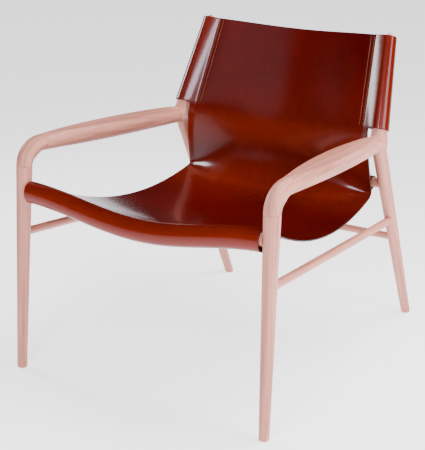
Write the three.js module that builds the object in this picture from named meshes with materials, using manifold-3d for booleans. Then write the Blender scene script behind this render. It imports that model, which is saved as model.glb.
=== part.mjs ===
// Leather sling lounge chair: a pale frame of turned and sculpted wood that carries one hanging hide.
// Millimetres, +Y to the back, +Z up, the sitter's left at +X, origin on the floor amid the four feet.
import * as THREE from 'three';
import { mergeVertices } from 'three/addons/utils/BufferGeometryUtils.js';
import Module from 'manifold-3d';

const wasm = await Module();
wasm.setup();

// Frame stance
const FOOT_TO_FOOT_DEPTH = 827;
const FRONT_FOOT_SPREAD = 678;
const REAR_FOOT_SPREAD = 556;
const FOOT_DIAMETER = 23.5;

// Front legs, up to the joint where the bent corner begins
const FRONT_JOINT_HEIGHT = 493;
const FRONT_JOINT_SPREAD = 663;
const FRONT_LEG_RAKE = 33;
const FRONT_LEG_TOP_DIAMETER = 37.5;

// Bent corners and armrests
const CORNER_REACH = 62;
const CORNER_RISE = 44;
const CORNER_EASE = 27;
const CORNER_WEB = 14;
const ARM_FRONT_SPREAD = 657;
const ARM_FRONT_DIAMETER = 38.5;
const ARM_MIDDLE_DIAMETER = 62;
const ARM_REAR_WIDTH = 40;
const ARM_REAR_HEIGHT = 42;
const ARM_REAR_AXIS_BELOW_KNEE = 2.5;
const ARM_MIDDLE_RISE = 8;
const ARM_FACET_ABOVE_ENDS = 0.8;

// Rear legs with their knees and back posts
const KNEE_ABOVE_JOINT = 22;
const KNEE_SPREAD = 574;
const KNEE_SETBACK = 227.5;
const KNEE_WIDTH = 40;
const KNEE_DEPTH = 45;
const KNEE_BOSS_REACH = 28;
const KNEE_BOSS_TAPER = 4;
const KNEE_BEND_LENGTH = 28;
const REAR_LEG_TOP_DIAMETER = 36;
const POST_HEIGHT = 760;
const POST_TOP_SPREAD = 514;
const POST_RAKE = 102.5;
const POST_BASE_DIAMETER = 38;
const POST_TOP_DIAMETER = 27;
const POST_DOME = 16;

// Rails and stretchers
const FRONT_RAIL_BELOW_JOINT = 53.5;
const FRONT_RAIL_DIAMETER = 33;
const FRONT_RAIL_DROP = 37;
const REAR_RAIL_BELOW_KNEE = 117;
const REAR_RAIL_DIAMETER = 24;
const SIDE_STRETCHER_BELOW_FRONT_RAIL = 103.5;
const SIDE_STRETCHER_BELOW_REAR_RAIL = 105;
const SIDE_STRETCHER_DIAMETER = 19.5;
const REAR_STRETCHER_HEIGHT = 241;
const REAR_STRETCHER_DIAMETER = 18;
const TENON_DIAMETER = 14;
const TENON_LENGTH = 11;
const FRONT_RAIL_TENON_DIAMETER = 20;

// Hidden dowels in the glued butt joints
const DOWEL_DIAMETER = 10;
const DOWEL_LENGTH = 44;
const GLUE_GAP = 0.3;

// Leather: thickness, the front sleeve, the seat, the lumbar fold, the back and its two side sleeves
const LEATHER = 3.6;
const LAYER_GAP = 0.5;
const FRONT_SLEEVE_SPREAD = 627;
const FRONT_SLEEVE_SLACK = 9;
const FRONT_HEM_REACH = 52;
const FRONT_HEM_FLAP = 22;
const SEAT_SAG = 63;
const FOLD_SPREAD = 536;
const FOLD_BELOW_RAIL = 23;
const FOLD_FORWARD_OF_RAIL = 35;
const FOLD_BOW = 11;
const FOLD_EDGE_RADIUS = 13;
const FOLD_MIDDLE_RADIUS = 105;
const SLEEVE_ABOVE_KNEE = 30;
const NOTCH_INSIDE_POST = 26;
const STITCH_INSIDE_POST = 46;
const SIDE_HEM_FLAP = 13;
const STITCH_BEHIND_POST_LOW = 12;
const STITCH_BEHIND_POST_HIGH = 3;
const BACK_BOW = 18;
const LUMBAR_EASE = 40;
const TOP_EDGE_DIP = 5;
const POST_SHOWING = 9;

// Strap that ties the fold to the rear rail
const STRAP_LEATHER = 3;
const STRAP_SPREAD = 508;
const STRAP_TAIL = 44;

// Facets
const LEG_SIDES = 24;
const ARM_SIDES = 36;
const RAIL_SIDES = 18;
const DOWEL_SIDES = 12;
const RAIL_STEPS = 16;
const CORNER_STEPS = 8;
const ARM_STEPS = 12;
const KNEE_STEPS = 6;
const SLING_COLUMNS = 14;
const SLEEVE_STEPS = 9;
const SEAT_STEPS = 8;
const FOLD_STEPS = 4;
const LUMBAR_STEPS = 3;
const BACK_STEPS = 5;
const WING_STEPS = 9;
const STRAP_COLUMNS = 8;
const STRAP_STEPS = 9;
const STRAP_REAR_LEAVES_AT = 1;
const STRAP_FRONT_LEAVES_AT = 2;

const OVERRUN = 20;
const X_AXIS = new THREE.Vector3(1, 0, 0);
const Y_AXIS = new THREE.Vector3(0, 1, 0);
const Z_AXIS = new THREE.Vector3(0, 0, 1);
const NEARLY_ALONG_share = 0.9;
const TOP_TAUT_share = 0.25;
const KNEE_SQUARE_share = 0.15;
const SWELL_LATE_share = 0.12;
const DOME_shares = [0, 0.4, 0.65, 0.85, 0.96];

const WOOD = { color: 0xe3c1ae, roughness: 0.62, metalness: 0 };
const DOWEL_WOOD = { color: 0xd8b48f, roughness: 0.7, metalness: 0 };
const HIDE = { color: 0x6a1610, roughness: 0.28, metalness: 0 };

const vec = (x, y, z) => new THREE.Vector3(x, y, z);
const between = (from, to, share) => new THREE.Vector3().lerpVectors(from, to, share);
const mix = THREE.MathUtils.lerp;
const direction = (from, to) => to.clone().sub(from).normalize();
const shifted = (point, way, length) => point.clone().addScaledVector(way, length);

// Two unit directions square to a tangent, as near to X and to tangent x X as they can be.
function crossAxes(tangent) {
  const reference = Math.abs(tangent.x) > NEARLY_ALONG_share ? Y_AXIS : X_AXIS;
  const side = reference.clone().addScaledVector(tangent, -reference.dot(tangent)).normalize();
  return [side, new THREE.Vector3().crossVectors(tangent, side)];
}

// One closed skin through rings of points, with a fan over each end.
function skinRings(rings) {
  const count = rings[0].length;
  const points = rings.flat();
  const faces = [];
  for (let ring = 0; ring < rings.length - 1; ring += 1) {
    for (let k = 0; k < count; k += 1) {
      const a = ring * count + k;
      const b = ring * count + ((k + 1) % count);
      faces.push(a, b, a + count, b, b + count, a + count);
    }
  }
  const middle = (ring) => ring.reduce((sum, p) => sum.add(p), vec(0, 0, 0)).divideScalar(count);
  const last = (rings.length - 1) * count;
  points.push(middle(rings[0]), middle(rings[rings.length - 1]));
  for (let k = 0; k < count; k += 1) {
    const next = (k + 1) % count;
    faces.push(points.length - 2, next, k, points.length - 1, last + k, last + next);
  }
  return meshFrom(points, faces);
}

function meshFrom(points, faces) {
  const geometry = new THREE.BufferGeometry();
  geometry.setAttribute('position', new THREE.Float32BufferAttribute(points.flatMap((p) => p.toArray()), 3));
  geometry.setIndex(faces);
  return geometry;
}

// A loft through stations, each an oval or soft square of its own size, square to its own tangent.
function loft(stations, sides) {
  const rounded = (value, power) => Math.sign(value) * Math.abs(value) ** (2 / power);
  return skinRings(stations.map(({ centre, tangent, width, depth = width, power = 2 }) => {
    const [side, up] = crossAxes(tangent);
    return Array.from({ length: sides }, (_, k) => {
      const angle = (2 * Math.PI * k) / sides;
      return shifted(shifted(centre, side, (width / 2) * rounded(Math.cos(angle), power)),
        up, (depth / 2) * rounded(Math.sin(angle), power));
    });
  }));
}

function rod(from, to, diameter, sides) {
  const tangent = direction(from, to);
  return loft([{ centre: from, tangent, width: diameter }, { centre: to, tangent, width: diameter }], sides);
}

function toSolid(geometry) {
  const bare = geometry.clone();
  bare.deleteAttribute('normal');
  bare.deleteAttribute('uv');
  const merged = mergeVertices(bare);
  return new wasm.Manifold(new wasm.Mesh({
    numProp: 3,
    vertProperties: Float32Array.from(merged.attributes.position.array),
    triVerts: Uint32Array.from(merged.index.array),
  }));
}

function fromSolid(solid) {
  const mesh = solid.getMesh();
  const geometry = new THREE.BufferGeometry();
  geometry.setAttribute('position', new THREE.BufferAttribute(mesh.vertProperties, 3));
  geometry.setIndex(new THREE.BufferAttribute(mesh.triVerts, 1));
  return geometry;
}

function cut(geometry, ...cutters) {
  return fromSolid(cutters.reduce((left, cutter) => left.subtract(toSolid(cutter)), toSolid(geometry)));
}

function join(geometry, ...others) {
  return fromSolid(others.reduce((whole, other) => whole.add(toSolid(other)), toSolid(geometry)));
}

// A block whose one face passes through a point and that fills the side its normal points to.
function halfSpace(point, normal, size) {
  const block = new THREE.BoxGeometry(size, size, size);
  block.applyQuaternion(new THREE.Quaternion().setFromUnitVectors(Z_AXIS, normal));
  const centre = shifted(point, normal, size / 2);
  return block.translate(centre.x, centre.y, centre.z);
}

const belowFloor = () => halfSpace(vec(0, 0, 0), Z_AXIS.clone().negate(), 2 * FOOT_TO_FOOT_DEPTH);

const kneeHeight = FRONT_JOINT_HEIGHT + KNEE_ABOVE_JOINT;
const frontRailHeight = FRONT_JOINT_HEIGHT - FRONT_RAIL_BELOW_JOINT;
const rearRailHeight = kneeHeight - REAR_RAIL_BELOW_KNEE;

// Lines that the frame is set out on, for the side at +X (side = 1) or -X (side = -1)
function settingOut(side) {
  const frontFoot = vec((side * FRONT_FOOT_SPREAD) / 2, -FOOT_TO_FOOT_DEPTH / 2, 0);
  const frontJoint = vec((side * FRONT_JOINT_SPREAD) / 2, frontFoot.y + FRONT_LEG_RAKE, FRONT_JOINT_HEIGHT);
  const armFrontY = frontJoint.y + CORNER_REACH;
  const armFront = vec((side * ARM_FRONT_SPREAD) / 2, armFrontY, FRONT_JOINT_HEIGHT + CORNER_RISE);
  const rearFoot = vec((side * REAR_FOOT_SPREAD) / 2, FOOT_TO_FOOT_DEPTH / 2, 0);
  const knee = vec((side * KNEE_SPREAD) / 2, rearFoot.y - KNEE_SETBACK, kneeHeight);
  const postTop = vec((side * POST_TOP_SPREAD) / 2, knee.y + POST_RAKE, POST_HEIGHT);
  const bendStart = shifted(knee, direction(rearFoot, knee), -KNEE_BEND_LENGTH);
  const bendEnd = shifted(knee, direction(knee, postTop), KNEE_BEND_LENGTH);
  const bend = new THREE.QuadraticBezierCurve3(bendStart, knee, bendEnd);
  const bossFace = bend.getPoint(0.5).y - KNEE_BOSS_REACH;
  const armRear = vec(knee.x, bossFace, kneeHeight - ARM_REAR_AXIS_BELOW_KNEE);
  return { frontFoot, frontJoint, armFront, rearFoot, knee, postTop, bend, armRear };
}

const atHeight = (low, high, z) => between(low, high, (z - low.z) / (high.z - low.z));
const frontLegDiameterAt = (z) => mix(FOOT_DIAMETER, FRONT_LEG_TOP_DIAMETER, z / FRONT_JOINT_HEIGHT);
const rearLegDiameterAt = (z) => mix(FOOT_DIAMETER, REAR_LEG_TOP_DIAMETER, z / kneeHeight);

function frontLegBody(side, growth = 0) {
  const { frontFoot, frontJoint } = settingOut(side);
  const tangent = direction(frontFoot, frontJoint);
  const foot = shifted(frontFoot, tangent, -OVERRUN);
  const top = shifted(frontJoint, tangent, -GLUE_GAP / 2);
  return loft([
    { centre: foot, tangent, width: FOOT_DIAMETER + 2 * growth },
    { centre: frontFoot, tangent, width: FOOT_DIAMETER + 2 * growth },
    { centre: top, tangent, width: FRONT_LEG_TOP_DIAMETER + 2 * growth },
  ], LEG_SIDES);
}

// The rear leg, its knee and the back post in one sweep: line, eased bend, line.
function rearLegBody(side, growth = 0) {
  const { rearFoot, knee, postTop, bend } = settingOut(side);
  const legWay = direction(rearFoot, knee);
  const postWay = direction(knee, postTop);
  const legTop = shifted(knee, legWay, -2 * KNEE_BEND_LENGTH);
  const domeBase = shifted(postTop, postWay, -POST_DOME);
  const stations = [
    { centre: shifted(rearFoot, legWay, -OVERRUN), tangent: legWay, width: FOOT_DIAMETER },
    { centre: rearFoot, tangent: legWay, width: FOOT_DIAMETER },
    { centre: legTop, tangent: legWay, width: rearLegDiameterAt(legTop.z) },
  ];
  for (let step = 0; step <= KNEE_STEPS; step += 1) {
    const share = step / KNEE_STEPS;
    const swell = Math.sin(Math.PI * share) ** 2;
    const plain = mix(rearLegDiameterAt(bend.v0.z), POST_BASE_DIAMETER, share);
    stations.push({
      centre: bend.getPoint(share),
      tangent: bend.getTangent(share),
      width: mix(plain, KNEE_WIDTH, swell),
      depth: mix(plain, KNEE_DEPTH, swell),
      power: 2 + 2 * KNEE_SQUARE_share * swell,
    });
  }
  for (const lift of DOME_shares) {
    stations.push({
      centre: shifted(domeBase, postWay, POST_DOME * lift),
      tangent: postWay,
      width: POST_TOP_DIAMETER * (1 - lift ** 2),
    });
  }
  for (const station of stations) {
    station.depth = (station.depth ?? station.width) + 2 * growth;
    station.width += 2 * growth;
  }
  return loft(stations, LEG_SIDES);
}

const frontLegAxisAt = (side, z) => atHeight(settingOut(side).frontFoot, settingOut(side).frontJoint, z);
const rearLegAxisAt = (side, z) => atHeight(settingOut(side).rearFoot, settingOut(side).knee, z);

// A tenon that runs from inside a rung through the skin of the leg, and the mortise cut for it.
function tenonPair(legAxisPoint, legDiameter, towardsLeg, tenonDiameter) {
  const skin = shifted(legAxisPoint, towardsLeg, -legDiameter / 2);
  const root = shifted(skin, towardsLeg, -OVERRUN);
  const tip = shifted(skin, towardsLeg, TENON_LENGTH);
  const mortiseEnd = shifted(tip, towardsLeg, GLUE_GAP);
  return {
    tenon: rod(root, tip, tenonDiameter, RAIL_SIDES),
    mortise: rod(root, mortiseEnd, tenonDiameter + 2 * GLUE_GAP, RAIL_SIDES),
  };
}

// A rung between two legs: its ends are coped to the round legs and carry tenons.
function rung(body, legs, ends, tenonDiameter) {
  const pairs = ends.map(({ at, diameter, towards }) => tenonPair(at, diameter, towards, tenonDiameter));
  const coped = cut(body, ...legs);
  const mortises = pairs.map((pair) => pair.mortise);
  return { solid: join(coped, ...pairs.map((pair) => pair.tenon)), mortises };
}

function straightRung(from, to, diameter, legs, legDiameters) {
  const way = direction(from, to);
  const ends = [
    { at: from, diameter: legDiameters[0], towards: way.clone().negate() },
    { at: to, diameter: legDiameters[1], towards: way },
  ];
  return rung(rod(from, to, diameter, RAIL_SIDES), legs, ends, TENON_DIAMETER);
}

function sideStretcher(side) {
  const from = frontLegAxisAt(side, frontRailHeight - SIDE_STRETCHER_BELOW_FRONT_RAIL);
  const to = rearLegAxisAt(side, rearRailHeight - SIDE_STRETCHER_BELOW_REAR_RAIL);
  const legs = [frontLegBody(side, GLUE_GAP), rearLegBody(side, GLUE_GAP)];
  const legDiameters = [frontLegDiameterAt(from.z), rearLegDiameterAt(to.z)];
  return straightRung(from, to, SIDE_STRETCHER_DIAMETER, legs, legDiameters);
}

function crossRung(height, diameter) {
  const legs = [rearLegBody(-1, GLUE_GAP), rearLegBody(1, GLUE_GAP)];
  const legDiameters = [rearLegDiameterAt(height), rearLegDiameterAt(height)];
  return straightRung(rearLegAxisAt(-1, height), rearLegAxisAt(1, height), diameter, legs, legDiameters);
}

// The front rail leaves both legs level and dips between them as one cosine wave.
const railEnd = frontLegAxisAt(1, frontRailHeight);
const railDipAt = (x) => (FRONT_RAIL_DROP / 2) * (1 + Math.cos((Math.PI * x) / railEnd.x));
const railAxisAt = (x) => vec(x, railEnd.y, railEnd.z - railDipAt(x));

function frontRail() {
  const stations = [];
  for (let step = 0; step <= RAIL_STEPS; step += 1) {
    const x = mix(-railEnd.x, railEnd.x, step / RAIL_STEPS);
    const slope = (FRONT_RAIL_DROP / 2) * (Math.PI / railEnd.x) * Math.sin((Math.PI * x) / railEnd.x);
    const tangent = vec(1, 0, slope).normalize();
    stations.push({ centre: railAxisAt(x), tangent, width: FRONT_RAIL_DIAMETER });
  }
  const legs = [frontLegBody(-1, GLUE_GAP), frontLegBody(1, GLUE_GAP)];
  const diameter = frontLegDiameterAt(railEnd.z);
  const ends = [
    { at: railAxisAt(-railEnd.x), diameter, towards: X_AXIS.clone().negate() },
    { at: railAxisAt(railEnd.x), diameter, towards: X_AXIS },
  ];
  return rung(loft(stations, RAIL_SIDES), legs, ends, FRONT_RAIL_TENON_DIAMETER);
}

// A dowel across a butt joint, and the hole that both pieces have for it.
function dowelAt(point, way) {
  const pin = (half, size) => rod(shifted(point, way, -half), shifted(point, way, half), size, DOWEL_SIDES);
  return {
    solid: pin(DOWEL_LENGTH / 2, DOWEL_DIAMETER),
    hole: pin(DOWEL_LENGTH / 2 + GLUE_GAP, DOWEL_DIAMETER + 2 * GLUE_GAP),
  };
}

const cornerWays = (side) => {
  const { frontFoot, frontJoint, armFront, armRear } = settingOut(side);
  return { legWay: direction(frontFoot, frontJoint), armWay: direction(armFront, armRear) };
};

// The bent corner, thicker on the inside of its bend, where the wood is cut nearly square.
function cornerBody(side) {
  const { frontJoint, armFront } = settingOut(side);
  const { legWay, armWay } = cornerWays(side);
  const start = shifted(frontJoint, legWay, GLUE_GAP / 2);
  const end = shifted(armFront, armWay, -GLUE_GAP / 2);
  const path = new THREE.CubicBezierCurve3(start, shifted(start, legWay, CORNER_EASE),
    shifted(end, armWay, -CORNER_EASE), end);
  const stations = [];
  for (let step = 0; step <= CORNER_STEPS; step += 1) {
    const share = step / CORNER_STEPS;
    const tangent = path.getTangent(share);
    const web = CORNER_WEB * Math.sin(Math.PI * share) ** 2;
    const width = mix(FRONT_LEG_TOP_DIAMETER, ARM_FRONT_DIAMETER, share);
    const centre = shifted(path.getPoint(share), crossAxes(tangent)[1], web / 2);
    stations.push({ centre, tangent, width, depth: width + web });
  }
  return loft(stations, LEG_SIDES);
}

// The boss on the knee's front that the armrest butts against, of the armrest's own section.
function kneeBoss(side) {
  const { armRear } = settingOut(side);
  const { armWay } = cornerWays(side);
  return loft([
    {
      centre: shifted(armRear, armWay, GLUE_GAP / 2),
      tangent: armWay,
      width: ARM_REAR_WIDTH,
      depth: ARM_REAR_HEIGHT,
    },
    {
      centre: shifted(armRear, armWay, KNEE_BOSS_REACH),
      tangent: armWay,
      width: ARM_REAR_WIDTH - KNEE_BOSS_TAPER,
      depth: ARM_REAR_HEIGHT + KNEE_BOSS_TAPER,
    },
  ], ARM_SIDES);
}

// The armrest swells to its middle; one flat across the swelling leaves its lens-shaped top.
function armBody(side) {
  const { armFront, armRear } = settingOut(side);
  const { armWay } = cornerWays(side);
  const stations = [];
  const start = shifted(armFront, armWay, GLUE_GAP / 2);
  const end = shifted(armRear, armWay, -GLUE_GAP / 2);
  for (let step = 0; step <= ARM_STEPS; step += 1) {
    const share = step / ARM_STEPS;
    const swell = Math.sin(Math.PI * share ** (1 + SWELL_LATE_share));
    const width = mix(ARM_FRONT_DIAMETER, ARM_REAR_WIDTH, share);
    const depth = mix(ARM_FRONT_DIAMETER, ARM_REAR_HEIGHT, share);
    stations.push({
      centre: shifted(between(start, end, share), Z_AXIS, ARM_MIDDLE_RISE * swell),
      tangent: armWay,
      width: mix(width, ARM_MIDDLE_DIAMETER, swell),
      depth: mix(depth, ARM_MIDDLE_DIAMETER, swell),
    });
  }
  const [, down] = crossAxes(armWay);
  const frontTop = shifted(start, down, -ARM_FRONT_DIAMETER / 2 - ARM_FACET_ABOVE_ENDS);
  const rearTop = shifted(end, down, -ARM_REAR_HEIGHT / 2 - ARM_FACET_ABOVE_ENDS);
  const normal = crossAxes(direction(frontTop, rearTop))[1].negate();
  const flat = halfSpace(between(frontTop, rearTop, 0.5), normal, FOOT_TO_FOOT_DEPTH);
  return cut(loft(stations, ARM_SIDES), flat);
}

// Leather sheets are grids of points: each gets its thickness to both sides of the grid.
function sheetFrom(grid, isLeather, thickness) {
  const rows = grid.length;
  const columns = grid[0].length;
  const slots = new Map();
  const points = [];
  const faces = [];
  const clampRow = (row) => THREE.MathUtils.clamp(row, 0, rows - 1);
  const clampColumn = (column) => THREE.MathUtils.clamp(column, 0, columns - 1);
  const neighbour = (row, column, dRow, dColumn) => {
    const there = grid[clampRow(row + dRow)][clampColumn(column + dColumn)];
    return there ?? grid[row][column];
  };
  const normalAt = (row, column) => {
    const alongRow = neighbour(row, column, 0, 1).clone().sub(neighbour(row, column, 0, -1));
    const alongColumn = neighbour(row, column, 1, 0).clone().sub(neighbour(row, column, -1, 0));
    return alongRow.cross(alongColumn).normalize();
  };
  const slotAt = (row, column) => {
    const key = row * columns + column;
    if (!slots.has(key)) {
      const normal = normalAt(row, column);
      slots.set(key, points.length);
      points.push(shifted(grid[row][column], normal, thickness / 2));
      points.push(shifted(grid[row][column], normal, -thickness / 2));
    }
    return slots.get(key);
  };
  const wall = (a, b) => faces.push(a, a + 1, b, b, a + 1, b + 1);
  for (let row = 0; row < rows - 1; row += 1) {
    for (let column = 0; column < columns - 1; column += 1) {
      if (!isLeather(row, column)) continue;
      const a = slotAt(row, column);
      const b = slotAt(row, column + 1);
      const c = slotAt(row + 1, column + 1);
      const d = slotAt(row + 1, column);
      faces.push(a, b, c, a, c, d, a + 1, c + 1, b + 1, a + 1, d + 1, c + 1);
      if (!isLeather(row - 1, column)) wall(a, b);
      if (!isLeather(row, column + 1)) wall(b, c);
      if (!isLeather(row + 1, column)) wall(c, d);
      if (!isLeather(row, column - 1)) wall(d, a);
    }
  }
  return meshFrom(points, faces);
}

// Points of a profile lie in the YZ plane as { y, z, turn }: turn is the angle of its run above +Y.
const profilePoint = (y, z, turn) => ({ y, z, turn });
const besideProfile = (point, offset) => profilePoint(
  point.y + offset * Math.sin(point.turn), point.z - offset * Math.cos(point.turn), point.turn);

const rearRailAxis = rearLegAxisAt(1, rearRailHeight);
const sleeveRadius = FRONT_RAIL_DIAMETER / 2 + GLUE_GAP;
const facetEase = (steps) => 1 / Math.cos((0.75 * Math.PI) / steps);

// The seat hangs as a parabola from the front sleeve to the fold, which turns up into the back on an arc.
function seatProfile(s) {
  const rail = railAxisAt((s * FRONT_SLEEVE_SPREAD) / 2);
  const high = sleeveRadius * facetEase(SLEEVE_STEPS) + LEATHER / 2 + FRONT_SLEEVE_SLACK / 2;
  const wide = high - FRONT_SLEEVE_SLACK / 4;
  const oval = profilePoint(rail.y, rail.z - FRONT_SLEEVE_SLACK / 2, 0);
  const cornerAt = rearRailAxis.y - FOLD_FORWARD_OF_RAIL + FOLD_BOW * (1 - s ** 2);
  const corner = profilePoint(cornerAt, rearRailAxis.z - FOLD_BELOW_RAIL, 0);
  const fall = Math.atan2(oval.z + high - corner.z + 4 * SEAT_SAG, corner.y - oval.y);
  const leave = Math.atan2(high, wide * Math.tan(fall));
  const onOval = (angle) => {
    const turn = Math.atan2(-high * Math.cos(angle), wide * Math.sin(angle));
    return profilePoint(oval.y + wide * Math.cos(angle), oval.z + high * Math.sin(angle), turn);
  };
  const start = onOval(leave);
  const run = corner.y - start.y;
  const seatAt = (t) => {
    const turn = Math.atan2(corner.z - start.z - 4 * SEAT_SAG * (1 - 2 * t), run);
    const sag = 4 * SEAT_SAG * t * (1 - t);
    return profilePoint(mix(start.y, corner.y, t), mix(start.z, corner.z, t) - sag, turn);
  };
  return { oval, high, wide, leave, onOval, start, corner, run, seatAt };
}

// The fold: an arc set between the seat's last slope and the line up to the back.
function foldProfile(s) {
  const seat = seatProfile(s);
  const notch = backPoint(s, 0);
  const up = postFrame().up;
  const aim = shifted(notch, up, -LUMBAR_EASE);
  const into = seat.seatAt(1).turn;
  const outOf = Math.atan2(aim.z - seat.corner.z, aim.y - seat.corner.y);
  const turn = outOf - into;
  const radius = mix(FOLD_MIDDLE_RADIUS, FOLD_EDGE_RADIUS, s ** 2);
  const setback = radius * Math.tan(turn / 2);
  const endShare = 1 - (setback * Math.cos(into)) / seat.run;
  const firstY = seat.corner.y - setback * Math.cos(into);
  const first = profilePoint(firstY, seat.corner.z - setback * Math.sin(into), into);
  const centre = besideProfile(first, -radius);
  const foldAt = (share) => {
    return besideProfile(profilePoint(centre.y, centre.z, into + turn * share), radius);
  };
  return { ...seat, notch, aim, endShare, foldAt };
}

// The right-hand post's sleeve frame: where it starts and ends on the post, and its forward and upward ways.
function postFrame() {
  const { knee, postTop } = settingOut(1);
  const way = direction(knee, postTop);
  const low = shifted(knee, way, SLEEVE_ABOVE_KNEE);
  const high = shifted(postTop, way, -POST_SHOWING);
  const up = vec(0, way.y, way.z).normalize();
  return { low, high, up, forward: vec(0, -up.z, up.y) };
}

const postRadiusAt = (w) => {
  const { knee, postTop } = settingOut(1);
  const length = knee.distanceTo(postTop);
  const from = mix(SLEEVE_ABOVE_KNEE, length - POST_SHOWING, w) - KNEE_BEND_LENGTH;
  const share = Math.max(0, from) / (length - KNEE_BEND_LENGTH - POST_DOME);
  return mix(POST_BASE_DIAMETER, POST_TOP_DIAMETER, Math.min(1, share)) / 2;
};

// A side sleeve's section round the post: across is outward from its axis, ahead is forward of it.
function sleeveSection(w) {
  const arcSteps = WING_STEPS - 2;
  const radius = (postRadiusAt(w) + GLUE_GAP) * facetEase(arcSteps) + LEATHER / 2;
  const behind = mix(STITCH_BEHIND_POST_LOW, STITCH_BEHIND_POST_HIGH, w);
  const stitchFront = { across: -STITCH_INSIDE_POST, ahead: -behind };
  const stitchRear = { across: -STITCH_INSIDE_POST, ahead: -behind - LEATHER - LAYER_GAP };
  const angleOf = (p) => Math.PI + Math.atan2(-p.ahead, -p.across);
  const swing = (p) => Math.acos(radius / Math.hypot(p.across, p.ahead));
  const frontAngle = angleOf(stitchFront) - swing(stitchFront);
  const rearAngle = angleOf(stitchRear) + swing(stitchRear) - 2 * Math.PI;
  const round = Array.from({ length: arcSteps + 1 }, (_, k) => {
    const angle = mix(frontAngle, rearAngle, k / arcSteps);
    return { across: radius * Math.cos(angle), ahead: radius * Math.sin(angle) };
  });
  const edgeShare = (STITCH_INSIDE_POST - NOTCH_INSIDE_POST) / (STITCH_INSIDE_POST + round[0].across);
  const edge = { across: -NOTCH_INSIDE_POST, ahead: mix(stitchFront.ahead, round[0].ahead, edgeShare) };
  const flapEnd = {
    across: stitchRear.across - SIDE_HEM_FLAP,
    ahead: stitchRear.ahead - LAYER_GAP - bowSlopeAt(w),
  };
  return { edge, wing: [...round, stitchRear, flapEnd], stitchFront };
}

const bowAt = (w) => BACK_BOW * (1 - TOP_TAUT_share * w ** 2);
const bowSlopeAt = (w) => {
  const stitch = postAxisX(w) - STITCH_INSIDE_POST;
  return bowAt(w) * (1 - (1 - SIDE_HEM_FLAP / stitch) ** 2);
};
const postAxisX = (w) => between(postFrame().low, postFrame().high, w).x;
const panelHalf = KNEE_SPREAD / 2 - NOTCH_INSIDE_POST;
const stitchColumn_share = 1 - (STITCH_INSIDE_POST - NOTCH_INSIDE_POST) / panelHalf;

// A point of the back: column share s from -1 to 1, row share w from the sleeves' foot to their top.
function backPoint(s, w) {
  const { low, high, up, forward } = postFrame();
  const axis = between(low, high, w);
  const { edge, stitchFront } = sleeveSection(w);
  const reach = Math.min(1, Math.abs(s) / stitchColumn_share);
  const past = Math.max(0, (Math.abs(s) - stitchColumn_share) / (1 - stitchColumn_share));
  const x = reach * (axis.x + stitchFront.across) + past * (edge.across - stitchFront.across);
  const hollow = bowAt(w) * (1 - reach ** 2);
  const ahead = mix(stitchFront.ahead - hollow, edge.ahead, past);
  const point = shifted(shifted(axis, forward, ahead), up, -TOP_EDGE_DIP * w ** 2 * (1 - reach ** 2));
  point.x = Math.sign(s) * x;
  return point;
}

function wingPoint(side, k, w) {
  const { low, high, forward } = postFrame();
  const axis = between(low, high, w);
  const { across, ahead } = sleeveSection(w).wing[k];
  const point = shifted(axis, forward, ahead);
  point.x = side * (axis.x + across);
  return point;
}

const columnShares = () => {
  const last = SLING_COLUMNS - 2;
  const inner = Array.from({ length: last + 1 }, (_, k) => mix(-1, 1, k / last) * stitchColumn_share);
  return [-1, ...inner, 1];
};

// One column of the hide from the front hem, round the rail, over the seat and up to the sleeves' foot.
function lowerColumn(s) {
  const fold = foldProfile(s);
  const points = [];
  const add = (p, spread) => points.push(vec((s * spread) / 2, p.y, p.z));
  const hemAt = (reach) => {
    const t = (fold.oval.y + reach - fold.start.y) / fold.run;
    return besideProfile(fold.seatAt(t), LEATHER + LAYER_GAP);
  };
  const hemStart = hemAt(FRONT_HEM_REACH);
  const away = { y: hemStart.y - fold.oval.y, z: hemStart.z - fold.oval.z };
  const swing = Math.acos((fold.wide + fold.high) / 2 / Math.hypot(away.y, away.z));
  const meet = Math.atan2(away.z, away.y) - swing;
  add(hemAt(FRONT_HEM_REACH + FRONT_HEM_FLAP), FRONT_SLEEVE_SPREAD);
  add(hemStart, FRONT_SLEEVE_SPREAD);
  for (let k = 0; k <= SLEEVE_STEPS; k += 1) {
    add(fold.onOval(mix(meet + 2 * Math.PI, fold.leave, k / SLEEVE_STEPS)), FRONT_SLEEVE_SPREAD);
  }
  for (let k = 1; k <= SEAT_STEPS; k += 1) {
    const t = (fold.endShare * k) / SEAT_STEPS;
    add(fold.seatAt(t), mix(FRONT_SLEEVE_SPREAD, FOLD_SPREAD, t));
  }
  for (let k = 1; k <= FOLD_STEPS; k += 1) add(fold.foldAt(k / FOLD_STEPS), FOLD_SPREAD);
  const foldEnd = points[points.length - 1];
  const aim = fold.aim.clone();
  aim.x = mix(foldEnd.x, fold.notch.x, 0.5);
  const lumbar = new THREE.QuadraticBezierCurve3(foldEnd, aim, fold.notch);
  for (let k = 1; k < LUMBAR_STEPS; k += 1) points.push(lumbar.getPoint(k / LUMBAR_STEPS));
  return points;
}

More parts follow.
